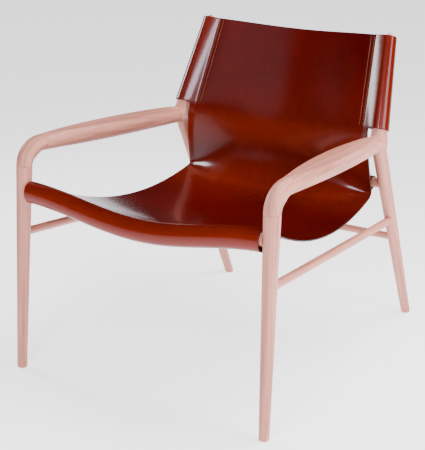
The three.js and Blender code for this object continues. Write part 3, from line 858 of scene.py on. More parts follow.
@dataclass
class WoodPiece:
    """A piece of the frame: turned, dressed and put in place of its solid."""

    side: Side | None
    finish: bpy.types.Material
    part: str = "piece"
    sides: int = 40
    smooth: float = 35
    foot_rounding: float = 2.5 * MM
    joint_rounding: float = 0.7 * MM
    glue_gap: float = 0.3 * MM
    into_leg: float = 5 * MM
    grain_step: float = 0.37

    @property
    def node(self) -> str:
        """Name of the solid that this piece stands for."""
        return f"{self.part}_{self.side.hand}" if self.side else self.part

    @property
    def lines(self) -> FrameLines:
        """The setting out on this piece's side."""
        return FrameLines(self.side.value if self.side else 1)

    @property
    def grain_offset(self) -> float:
        """How far the grain is moved, so that no two pieces look alike."""
        no_side = 3
        return self.grain_step * (len(self.node) + (self.side.value if self.side else no_side))

    def rings(self) -> list[Ring]:
        """Sections of the piece in order."""
        raise NotImplementedError

    def shape(self, rings: list[Ring]) -> bpy.types.Object:
        """Makes the mesh from the sections."""
        return turned(f"{self.node}_wood", rings, self.sides)

    def build(self) -> bpy.types.Object:
        """Returns:
            The finished object.
        """
        rings = self.rings()
        obj = self.shape(rings)
        mark_grain(obj, rings, self.grain_offset)
        self.mark_more(obj)
        obj.data.materials.append(self.finish)
        smooth_shading(obj, self.smooth)
        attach(obj, "root")
        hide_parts(self.node)
        LOG.info("%s: %d faces", obj.name, len(obj.data.polygons))
        return obj

    def mark_more(self, obj: bpy.types.Object) -> None:
        """Stores what else the finish needs; most pieces have no knot."""
        set_attribute(obj, "knot", np.zeros(len(obj.data.vertices)))


@dataclass
class FrontLeg(WoodPiece):
    """A round front leg, tapered to its foot."""

    part: str = "front_leg"
    steps: int = 7
    step_shares: tuple = (0.1, 0.9)

    def rings(self) -> list[Ring]:
        """From the foot on the floor up to the joint.

        Returns:
            The sections in order.
        """
        lines = self.lines
        way = lines.front_leg_way
        rings = [Ring(lines.front_foot, way, lines.foot_diameter)]
        for share in np.linspace(*self.step_shares, self.steps):
            centre = mix(lines.front_foot, lines.front_joint, share)
            rings.append(Ring(centre, way, lines.front_leg_diameter(centre[2])))
        top = lines.front_joint - way * self.glue_gap / 2
        rings.append(Ring(top, way, lines.front_leg_top_diameter))
        return ease_ends(rings, self.foot_rounding, self.joint_rounding)

    def shape(self, rings: list[Ring]) -> bpy.types.Object:
        """Turns the leg and cuts its foot level with the floor."""
        return cut_at_floor(super().shape(rings))


def cut_at_floor(obj: bpy.types.Object) -> bpy.types.Object:
    """Flattens what reaches below the floor, so that the foot stands flat.

    Args:
        obj: mesh of a leg.

    Returns:
        The same object.
    """
    points = mesh_points(obj)
    points[:, 2] = np.maximum(points[:, 2], 0)
    set_mesh_points(obj, points)
    return obj


@dataclass
class ArmCorner(WoodPiece):
    """The bent corner between a front leg and an armrest, thicker inside its bend."""

    part: str = "arm_corner"
    ease: float = 34 * MM
    web: float = 6 * MM
    end_diameter: float = 38.5 * MM
    steps: int = 28
    knot_from_joint: float = 26 * MM
    knot_beside: tuple = (12 * MM, -16 * MM, 0)
    knot_size: float = 3.8 * MM
    knot_stretch: tuple = (1, 1, 0.6)

    def rings(self) -> list[Ring]:
        """Along the bend from the leg to the armrest.

        Returns:
            The sections in order.
        """
        lines = self.lines
        start = lines.front_joint + lines.front_leg_way * self.glue_gap / 2
        end = lines.arm_front - lines.arm_way * self.glue_gap / 2
        corners = np.array((start, start + lines.front_leg_way * self.ease,
                            end - lines.arm_way * self.ease, end))
        rings = []
        for share in np.linspace(0, 1, self.steps + 1):
            rest = 1 - share
            weights = np.array(
                (rest ** 3, 3 * rest ** 2 * share, 3 * rest * share ** 2, share ** 3))
            slopes = np.array((rest ** 2, 2 * rest * share, share ** 2))
            tangent = unit(slopes @ np.diff(corners, axis=0))
            web = self.web * math.sin(math.pi * share) ** 2
            width = mix(lines.front_leg_top_diameter, self.end_diameter, share)
            centre = weights @ corners + cross_axes(tangent)[1] * web / 2
            rings.append(Ring(centre, tangent, width, width + web))
        return ease_ends(rings, self.joint_rounding, self.joint_rounding)

    def mark_more(self, obj: bpy.types.Object) -> None:
        """Stores the one small knot, on the outer face of the sitter's left corner.

        Args:
            obj: the corner's mesh.
        """
        if self.side is not Side.LEFT:
            super().mark_more(obj)
            return
        lines = self.lines
        joint = lines.front_joint + self.knot_beside
        away = mesh_points(obj) - (joint + lines.front_leg_way * self.knot_from_joint)
        share = ((away * self.knot_stretch) ** 2).sum(axis=1) / self.knot_size ** 2
        set_attribute(obj, "knot", np.exp(-share))


@dataclass
class Armrest(WoodPiece):
    """An armrest that swells to its middle, with one flat cut across the swelling."""

    part: str = "armrest"
    sides: int = 64
    smooth: float = 22
    front_diameter: float = 38.5 * MM
    middle_diameter: float = 62 * MM
    rear_width: float = 40 * MM
    rear_height: float = 42 * MM
    middle_rise: float = 8 * MM
    flat_above_ends: float = 0.8 * MM
    swell_late: float = 0.12
    crease_rounding: float = 0.9 * MM
    crease_segments: int = 3
    crease_degrees: float = 11
    steps: int = 36

    def rings(self) -> list[Ring]:
        """From the bent corner back to the knee, before the flat is cut.

        Returns:
            The sections in order.
        """
        lines = self.lines
        start = lines.arm_front + lines.arm_way * self.glue_gap / 2
        end = lines.arm_rear - lines.arm_way * self.glue_gap / 2
        rings = []
        for share in np.linspace(0, 1, self.steps + 1):
            swell = math.sin(math.pi * share ** (1 + self.swell_late))
            width = mix(self.front_diameter, self.rear_width, share)
            depth = mix(self.front_diameter, self.rear_height, share)
            rings.append(Ring(
                mix(start, end, share) + vec(0, 0, self.middle_rise * swell),
                lines.arm_way,
                mix(width, self.middle_diameter, swell),
                mix(depth, self.middle_diameter, swell),
            ))
        return ease_ends(rings, self.joint_rounding, self.joint_rounding)

    def shape(self, rings: list[Ring]) -> bpy.types.Object:
        """Turns the swelling, cuts the flat and eases its creases.

        Args:
            rings: the armrest's sections.

        Returns:
            The armrest's mesh.
        """
        obj = super().shape(rings)
        down = cross_axes(self.lines.arm_way)[1]
        front = rings[0].centre - down * (self.front_diameter / 2 + self.flat_above_ends)
        rear = rings[-1].centre - down * (self.rear_height / 2 + self.flat_above_ends)
        normal = -cross_axes(unit(rear - front))[1]
        with edit_mode(obj):
            bpy.ops.mesh.bisect(plane_co=Vector(front), plane_no=Vector(normal), use_fill=True,
                                clear_outer=True)
        apply_modifier(obj, "BEVEL", width=self.crease_rounding, segments=self.crease_segments,
                       limit_method="ANGLE", angle_limit=math.radians(self.crease_degrees))
        return obj


@dataclass
class RearLeg(WoodPiece):
    """A rear leg, its knee with the boss for the armrest, and the back post, in one piece."""

    part: str = "rear_leg"
    smooth: float = 60
    leg_steps: int = 8
    leg_shares: tuple = (0.1, 1)
    knee_width: float = 40 * MM
    knee_depth: float = 45 * MM
    knee_square: float = 0.15
    knee_steps: int = 12
    post_base_diameter: float = 38 * MM
    post_top_diameter: float = 27 * MM
    post_steps: int = 5
    post_shares: tuple = (0.2, 0.9)
    post_dome: float = 16 * MM
    dome_shares: tuple = (0, 0.2, 0.4, 0.55, 0.7, 0.82, 0.91, 0.97, 0.99)
    boss_width: float = 40 * MM
    boss_height: float = 42 * MM
    boss_taper: float = 4 * MM
    voxel: float = 1.5 * MM
    melt: float = 0.5
    melt_rounds: int = 7

    def rings(self) -> list[Ring]:
        """Up the leg, round the knee and up the post to its dome.

        Returns:
            The sections in order.
        """
        lines = self.lines
        way, post_way = lines.rear_leg_way, lines.post_way
        foot = Ring(lines.rear_foot, way, lines.foot_diameter)
        rings = rounded_end(foot, self.foot_rounding, -1)[::-1]
        leg_top = lines.knee - way * 2 * lines.knee_bend
        for share in np.linspace(*self.leg_shares, self.leg_steps):
            centre = mix(lines.rear_foot, leg_top, share)
            rings.append(Ring(centre, way, lines.rear_leg_diameter(centre[2])))
        bend_diameter = lines.rear_leg_diameter(lines.bend_point(0)[2])
        for share in np.linspace(0, 1, self.knee_steps + 1):
            swell = math.sin(math.pi * share) ** 2
            plain = mix(bend_diameter, self.post_base_diameter, share)
            rings.append(Ring(
                lines.bend_point(share), lines.bend_way(share),
                mix(plain, self.knee_width, swell), mix(plain, self.knee_depth, swell),
                2 + 2 * self.knee_square * swell))
        base = lines.post_top - post_way * self.post_dome
        for share in np.linspace(*self.post_shares, self.post_steps):
            width = mix(self.post_base_diameter, self.post_top_diameter, share)
            rings.append(Ring(mix(lines.bend_point(1), base, share), post_way, width))
        for lift in self.dome_shares:
            width = self.post_top_diameter * (1 - lift ** 2)
            rings.append(Ring(base + post_way * self.post_dome * lift, post_way, width))
        return rings

    def shape(self, rings: list[Ring]) -> bpy.types.Object:
        """Turns the leg and the boss, and melts the two into one carved knee.

        Args:
            rings: the leg's sections.

        Returns:
            The leg's mesh.
        """
        lines = self.lines
        leg = cut_at_floor(super().shape(rings))
        start = Ring(lines.arm_rear + lines.arm_way * self.glue_gap / 2, lines.arm_way,
                     self.boss_width, self.boss_height)
        end = Ring(lines.arm_rear + lines.arm_way * lines.boss_reach, lines.arm_way,
                   self.boss_width - self.boss_taper, self.boss_height + self.boss_taper)
        boss = turned(f"{self.node}_boss", [start, end], self.sides)
        select_only(leg)
        boss.select_set(True)
        bpy.ops.object.join()
        apply_modifier(leg, "REMESH", mode="VOXEL", voxel_size=self.voxel, adaptivity=0)
        apply_modifier(leg, "SMOOTH", factor=self.melt, iterations=self.melt_rounds)
        return cut_at_floor(leg)


@dataclass
class Rung(WoodPiece):
    """A straight round rung between two legs."""

    sides: int = 32
    diameter: float = 19.5 * MM
    steps: int = 6

    def ends(self) -> tuple[Point, float, Point, float]:
        """The two points on the legs' middles, each with the leg's diameter there."""
        raise NotImplementedError

    def rings(self) -> list[Ring]:
        """From a little inside one leg to a little inside the other.

        Returns:
            The sections in order.
        """
        start, start_leg, end, end_leg = self.ends()
        way = unit(end - start)
        first = start + way * (start_leg / 2 - self.into_leg)
        last = end - way * (end_leg / 2 - self.into_leg)
        shares = np.linspace(0, 1, self.steps + 1)
        return [Ring(mix(first, last, share), way, self.diameter) for share in shares]


@dataclass
class SideStretcher(Rung):
    """The rung between the front and rear leg of one side."""

    part: str = "side_stretcher"
    front_height: float = 336 * MM
    rear_height: float = 293 * MM

    def ends(self) -> tuple[Point, float, Point, float]:
        """On the front leg and on the rear leg.

        Returns:
            Each point with the leg's diameter there.
        """
        lines = self.lines
        front, rear = self.front_height, self.rear_height
        return (lines.front_leg_at(front), lines.front_leg_diameter(front),
                lines.rear_leg_at(rear), lines.rear_leg_diameter(rear))


@dataclass
class CrossRung(Rung):
    """A rung between the two rear legs."""

    height: float = 241 * MM

    def ends(self) -> tuple[Point, float, Point, float]:
        """On the right leg and on the left leg.

        Returns:
            Each point with the leg's diameter there.
        """
        right, left = FrameLines(-1), FrameLines(1)
        thick = left.rear_leg_diameter(self.height)
        return right.rear_leg_at(self.height), thick, left.rear_leg_at(self.height), thick


@dataclass
class RearRail(CrossRung):
    """The rail behind the fold of the hide."""

    part: str = "rear_rail"
    diameter: float = 24 * MM
    height: float = 398 * MM


@dataclass
class RearStretcher(CrossRung):
    """The lowest rung, between the rear legs."""

    part: str = "rear_stretcher"
    diameter: float = 18 * MM
    height: float = 241 * MM


@dataclass(frozen=True)
class RailLine:
    """The dipping line of the front rail."""

    height: float = 439.5 * MM
    drop: float = 37 * MM
    diameter: float = 33 * MM

    @property
    def end(self) -> Point:
        """Where the rail's line meets the left leg's."""
        return FrameLines(1).front_leg_at(self.height)

    def at(self, x: float) -> Point:
        """The rail's middle at a place across the chair."""
        dip = self.drop / 2 * (1 + math.cos(math.pi * x / self.end[0]))
        return vec(x, self.end[1], self.end[2] - dip)

    def way(self, x: float) -> Point:
        """Direction of the rail at a place across the chair."""
        turn = math.pi / self.end[0]
        return unit(vec(1, 0, self.drop / 2 * turn * math.sin(turn * x)))


@dataclass
class FrontRail(WoodPiece):
    """The front rail, level at the legs and dipping between them."""

    part: str = "front_rail"
    steps: int = 40

    def rings(self) -> list[Ring]:
        """From a little inside the right leg to a little inside the left one.

        Returns:
            The sections in order.
        """
        line = RailLine()
        leg = FrameLines(1).front_leg_diameter(line.height)
        reach = line.end[0] - leg / 2 + self.into_leg
        places = np.linspace(-reach, reach, self.steps + 1)
        return [Ring(line.at(x), line.way(x), line.diameter) for x in places]


@dataclass(frozen=True)
class Spot:
    """A point of a profile in the YZ plane; turn is the angle of its run above +Y."""

    y: float
    z: float
    turn: float = 0.0

    def beside(self, offset: float) -> "Spot":
        """The point at an offset below the run."""
        return Spot(self.y + offset * math.sin(self.turn), self.z - offset * math.cos(self.turn),
                    self.turn)

    def at(self, x: float) -> Point:
        """The point in space."""
        return vec(x, self.y, self.z)

    def towards(self, other: "Spot", share: float) -> "Spot":
        """The point a share of the way to another, in a straight line."""
        return Spot(mix(self.y, other.y, share), mix(self.z, other.z, share))


@dataclass(frozen=True)
class HideSizes:
    """Sizes of the hide, as it hangs."""

    leather: float = 3.6 * MM
    layer_gap: float = 0.5 * MM
    glue_gap: float = 0.3 * MM
    sleeve_spread: float = 627 * MM
    sleeve_slack: float = 9 * MM
    sleeve_ease: float = 1.0353
    hem_reach: float = 52 * MM
    hem_flap: float = 22 * MM
    seat_sag: float = 63 * MM
    fold_spread: float = 536 * MM
    fold_below_rail: float = 23 * MM
    fold_forward: float = 35 * MM
    fold_bow: float = 11 * MM
    fold_edge_radius: float = 13 * MM
    fold_middle_radius: float = 105 * MM
    sleeve_above_knee: float = 30 * MM
    notch_inside: float = 26 * MM
    notch_radius: float = 8 * MM
    stitch_inside_low: float = 41 * MM
    stitch_inside_high: float = 34 * MM
    side_flap: float = 13 * MM
    ahead_low: float = 3 * MM
    ahead_high: float = 4 * MM
    sleeve_round: float = 0.08
    back_bow: float = 33 * MM
    top_taut: float = 0.38
    lumbar_ease: float = 40 * MM
    top_dip: float = 1 * MM
    post_showing: float = 9 * MM
    post_ease: float = 1.035
    rear_rail_height: float = RearRail.height
    rear_rail_diameter: float = RearRail.diameter
    strap_leather: float = 3 * MM
    strap_spread: float = 508 * MM
    strap_tail: float = 44 * MM
    strap_ease: float = 1.02


class HideProfiles:
    """Profiles of the hide from the front hem to the top of the back."""

    def __init__(self, sizes: HideSizes) -> None:
        """Works out the lines that the hide hangs from.

        Args:
            sizes: the hide's sizes.
        """
        self.sizes = sizes
        self.lines = FrameLines(1)
        self.rail = RailLine()
        self.rear_rail = self.lines.rear_leg_at(sizes.rear_rail_height)
        way = self.lines.post_way
        self.low = self.lines.knee + way * sizes.sleeve_above_knee
        self.high = self.lines.post_top - way * sizes.post_showing
        self.up = unit(vec(0, way[1], way[2]))
        self.forward = vec(0, -self.up[2], self.up[1])
        self.post_length = float(np.linalg.norm(self.lines.post_top - self.lines.knee))
        half = self.lines.knee_spread / 2 - sizes.notch_inside
        self.stitch_share = 1 - (sizes.stitch_inside_low - sizes.notch_inside) / half

    def post_at(self, w: float) -> Point:
        """The post's middle at a share of the sleeve's height."""
        return mix(self.low, self.high, w)

    def post_radius(self, w: float) -> float:
        """The post's radius at a share of the sleeve's height.

        Args:
            w: share up the sleeve.

        Returns:
            The radius.
        """
        leg = RearLeg
        above = mix(self.sizes.sleeve_above_knee, self.post_length - self.sizes.post_showing, w)
        above -= self.lines.knee_bend
        share = max(0.0, above) / (self.post_length - self.lines.knee_bend - leg.post_dome)
        return mix(leg.post_base_diameter, leg.post_top_diameter, min(1.0, share)) / 2

    def seat(self, s: float) -> "SeatProfile":
        """The seat's profile at a share of its half width."""
        return SeatProfile(self, s)

    def sleeve(self, w: float, arc_steps: int = 3, slope_steps: int = 1) -> "SleeveSection":
        """The side sleeve's section at a share of its height."""
        return SleeveSection(self, w, arc_steps, slope_steps)

    def stitch_inside(self, w: float) -> float:
        """How far inside the post's line a sleeve is closed."""
        return mix(self.sizes.stitch_inside_low, self.sizes.stitch_inside_high, w)

    def bow(self, w: float) -> float:
        """How far the back's middle hangs behind its sides."""
        return self.sizes.back_bow * (1 - self.sizes.top_taut * w ** 2)

    def hollow(self, w: float, reach: float) -> float:
        """How far the back hangs behind its sides, at a share out from its middle."""
        return self.bow(w) * (1 - reach ** 2) ** 2

    def back_point(self, s: float, w: float) -> Point:
        """A point of the back between the sleeves.

        Args:
            s: share across, from -1 to 1.
            w: share up the sleeves.

        Returns:
            The point on the hide's middle surface.
        """
        sizes = self.sizes
        axis = self.post_at(w)
        section = self.sleeve(w)
        reach = min(1.0, abs(s) / self.stitch_share)
        past = max(0.0, (abs(s) - self.stitch_share) / (1 - self.stitch_share))
        x = reach * (axis[0] + section.stitch[0]) + past * (section.edge[0] - section.stitch[0])
        hollow = self.hollow(w, reach)
        ahead = mix(section.stitch[1] - hollow, section.edge[1], past)
        dip = sizes.top_dip * w ** 2 * (1 - reach ** 2)
        point = axis + self.forward * ahead - self.up * dip
        point[0] = math.copysign(x, s) if s else 0.0
        return point


class SeatProfile:
    """The hide's profile at one place across: front sleeve, hanging seat, fold and lumbar run."""

    def __init__(self, profiles: HideProfiles, s: float) -> None:
        """Works the profile out.

        Args:
            profiles: the hide's lines.
            s: share across, from -1 to 1.
        """
        sizes = profiles.sizes
        self.sizes = sizes
        rail = profiles.rail.at(s * sizes.sleeve_spread / 2)
        inner = profiles.rail.diameter / 2 + sizes.glue_gap
        self.high = inner * sizes.sleeve_ease + sizes.leather / 2 + sizes.sleeve_slack / 2
        self.wide = self.high - sizes.sleeve_slack / 4
        self.oval = Spot(rail[1], rail[2] - sizes.sleeve_slack / 2)
        y = profiles.rear_rail[1] - sizes.fold_forward + sizes.fold_bow * (1 - s ** 2)
        self.corner = Spot(y, profiles.rear_rail[2] - sizes.fold_below_rail)
        drop = self.oval.z + self.high - self.corner.z + 4 * sizes.seat_sag
        fall = math.atan2(drop, self.corner.y - self.oval.y)
        self.leave = math.atan2(self.high, self.wide * math.tan(fall))
        self.start = self.on_oval(self.leave)
        self.run = self.corner.y - self.start.y
        self.notch = profiles.back_point(s, 0)
        self.aim = self.notch - profiles.up * sizes.lumbar_ease
        into = self.on_seat(1).turn
        out = math.atan2(self.aim[2] - self.corner.z, self.aim[1] - self.corner.y)
        self.fold_turn = out - into
        self.radius = mix(sizes.fold_middle_radius, sizes.fold_edge_radius, s ** 2)
        setback = self.radius * math.tan(self.fold_turn / 2)
        self.end_share = 1 - setback * math.cos(into) / self.run
        first = Spot(self.corner.y - setback * math.cos(into),
                     self.corner.z - setback * math.sin(into), into)
        self.centre = first.beside(-self.radius)

    def on_oval(self, angle: float) -> Spot:
        """A point of the front sleeve.

        Args:
            angle: angle round the rail.

        Returns:
            The point, with the way that the leather runs there.
        """
        out, up = math.cos(angle), math.sin(angle)
        turn = math.atan2(-self.high * out, self.wide * up)
        return Spot(self.oval.y + self.wide * out, self.oval.z + self.high * up, turn)

    def on_seat(self, share: float) -> Spot:
        """A point of the hanging seat.

        Args:
            share: share of the run from the front sleeve to the fold.

        Returns:
            The point, with the way that the leather runs there.
        """
        sag = 4 * self.sizes.seat_sag
        drop = self.corner.z - self.start.z
        turn = math.atan2(drop - sag * (1 - 2 * share), self.run)
        return Spot(mix(self.start.y, self.corner.y, share),
                    mix(self.start.z, self.corner.z, share) - sag * share * (1 - share), turn)

    def on_fold(self, share: float) -> Spot:
        """A point of the fold's arc."""
        turn = self.on_seat(1).turn + self.fold_turn * share
        return Spot(self.centre.y, self.centre.z, turn).beside(self.radius)

    def hem(self, reach: float) -> Spot:
        """A point of the front hem under the seat, at a distance behind the rail."""
        share = (self.oval.y + reach - self.start.y) / self.run
        return self.on_seat(share).beside(self.sizes.leather + self.sizes.layer_gap)


class SleeveSection:
    """A side sleeve's section: pairs of distance outward from the post and forward of it."""

    def __init__(self, profiles: HideProfiles, w: float, arc_steps: int, slope_steps: int) -> None:
        """Works the section out.

        Args:
            profiles: the hide's lines.
            w: share up the sleeve.
            arc_steps: steps round the post.
            slope_steps: steps of each straight run.
        """
        sizes = profiles.sizes
        radius = (profiles.post_radius(w) + sizes.glue_gap) * sizes.post_ease + sizes.leather / 2
        stitch_inside = profiles.stitch_inside(w)
        self.stitch = np.array((-stitch_inside, mix(sizes.ahead_low, sizes.ahead_high, w)))
        rear = self.stitch - (0, sizes.leather + sizes.layer_gap)
        front_angle = self.bearing(self.stitch) - self.swing(self.stitch, radius)
        rear_angle = self.bearing(rear) + self.swing(rear, radius) - 2 * math.pi
        start = front_angle - sizes.sleeve_round
        angles = np.linspace(start, rear_angle, arc_steps + 1)
        arc = radius * np.stack((np.cos(angles), np.sin(angles)), axis=1)
        share = (stitch_inside - sizes.notch_inside) / (arc[0, 0] - self.stitch[0])
        half_length = float(np.hypot(*(arc[0] - self.stitch))) / 2
        corner = arc[0] - half_length * np.array((math.sin(start), -math.cos(start)))
        self.edge = bend(self.stitch, corner, arc[0], share)
        stitch_x = profiles.post_at(w)[0] - stitch_inside
        slope = profiles.hollow(w, 1 - sizes.side_flap / stitch_x)
        flap = rear - (sizes.side_flap, sizes.layer_gap + slope)
        steps = np.arange(1, slope_steps + 1)[:, None] / slope_steps
        front_run = bend(self.stitch, corner, arc[0], mix(share, 1, steps))
        rear_run = mix(arc[-1], rear, steps)
        flap_run = mix(rear, flap, steps)
        self.wing = np.concatenate((front_run, arc[1:], rear_run, flap_run))

    @staticmethod
    def bearing(point: np.ndarray) -> float:
        """Angle of a point round the post, measured so that it grows past the back."""
        return math.pi + math.atan2(-point[1], -point[0])

    @staticmethod
    def swing(point: np.ndarray, radius: float) -> float:
        """Angle at the post between a point and where its tangent touches."""
        return math.acos(radius / float(np.hypot(*point)))


def sheet_object(name: str, grid: np.ndarray, keep: np.ndarray, marks: dict) -> bpy.types.Object:
    """Makes a surface from a grid of points.

    Args:
        name: name of the new object.
        grid: points by row and column.
        keep: which cells of the grid are leather.
        marks: attributes by name, each with a value for each point of the grid.

    Returns:
        The open mesh object.
    """
    rows, columns = grid.shape[:2]
    index = np.arange(rows * columns).reshape(rows, columns)
    cells = np.stack((index[:-1, :-1], index[:-1, 1:], index[1:, 1:], index[1:, :-1]), axis=-1)
    cells = cells[keep]
    used = np.unique(cells)
    places = np.zeros(rows * columns, dtype=int)
    places[used] = np.arange(len(used))
    mesh = bpy.data.meshes.new(name)
    mesh.from_pydata(grid.reshape(-1, 3)[used].tolist(), [], places[cells].tolist())
    mesh.update()
    obj = bpy.data.objects.new(name, mesh)
    bpy.context.scene.collection.objects.link(obj)
    for key, values in marks.items():
        flat = values.reshape(rows * columns, -1)[used]
        set_attribute(obj, key, flat if flat.shape[1] > 1 else flat[:, 0])
    return obj


def sheet_area(obj: bpy.types.Object) -> float:
    """Area of an open surface."""
    return float(sum(face.area for face in obj.data.polygons))


@dataclass
class LeatherSheet:
    """A sheet of leather, with one finish for its faces and one for its cut edges."""

    leather: bpy.types.Material
    edge: bpy.types.Material
    sizes: HideSizes = field(default_factory=HideSizes)
    rim_segments: int = 2
    rim_degrees: float = 50
    smooth: float = 60

    def thicken(self, obj: bpy.types.Object, leather: float, rim: float) -> None:
        """Gives a surface its finishes, its thickness, eased rims and a finer skin.

        Args:
            obj: open mesh object.
            leather: thickness.
            rim: rounding of the cut edges.
        """
        obj.data.materials.append(self.leather)
        obj.data.materials.append(self.edge)
        apply_modifier(obj, "SOLIDIFY", thickness=leather, offset=0, use_even_offset=False,
                       use_rim=True, material_offset_rim=1)
        apply_modifier(obj, "BEVEL", width=rim, segments=self.rim_segments, limit_method="ANGLE",
                       angle_limit=math.radians(self.rim_degrees))
        apply_modifier(obj, "SUBSURF", levels=1, render_levels=1)
        make_outward(obj)
        smooth_shading(obj, self.smooth)


@dataclass(frozen=True)
class Wear:
    """How warm the dye is along the hide, from 0 to 1, and how far warm places reach: partly wear,
    partly painted light.
    """

    hem: float = 0.2
    under_sleeve: float = 0.3
    sleeve: float = 0.18
    sleeve_front: float = 0.44
    front_turn: float = 0.25
    seat_front: float = 0.2
    seat_front_reach: float = 0.06
    fold: float = 0.35
    fold_reach: float = 0.16
    fold_fading: float = 0.6
    lumbar: float = 0.14
    lumbar_middle: float = 0.3
    wing: float = 0.22

    def on_sleeve(self, angle: float) -> float:
        """Warm tone, partly wear and partly painted light, at an angle round the front sleeve."""
        return self.sleeve + self.sleeve_front * max(0.0, -math.cos(angle - self.front_turn))

    def on_seat(self, share: float) -> float:
        """Warm tone, partly wear and partly painted light, at a share of the seat."""
        front = self.seat_front * math.exp(-(share / self.seat_front_reach) ** 2)
        return front + self.fold * math.exp(-((share - 1) / self.fold_reach) ** 2)

    def on_fold(self, share: float) -> float:
        """Warm tone, partly wear and partly painted light, at a share of the fold."""
        return self.fold * (1 - self.fold_fading * share)

    def on_lumbar(self, share: float) -> float:
        """Warm tone at a share of the run from the fold to the sleeves' foot, partly wear and
        partly a painted glow across its middle.
        """
        return self.lumbar + self.lumbar_middle * math.sin(math.pi * share)


@dataclass(frozen=True)
class Layout:
    """The hide's grid: its lower rows have the panel alone, the upper ones a wing on each side."""

    lower: int
    wing: int
    middle: int

    @property
    def panel(self) -> slice:
        """The columns between the wings."""
        return slice(self.wing, self.wing + self.middle)

    @property
    def centre(self) -> int:
        """The column in the middle."""
        return self.wing + self.middle // 2


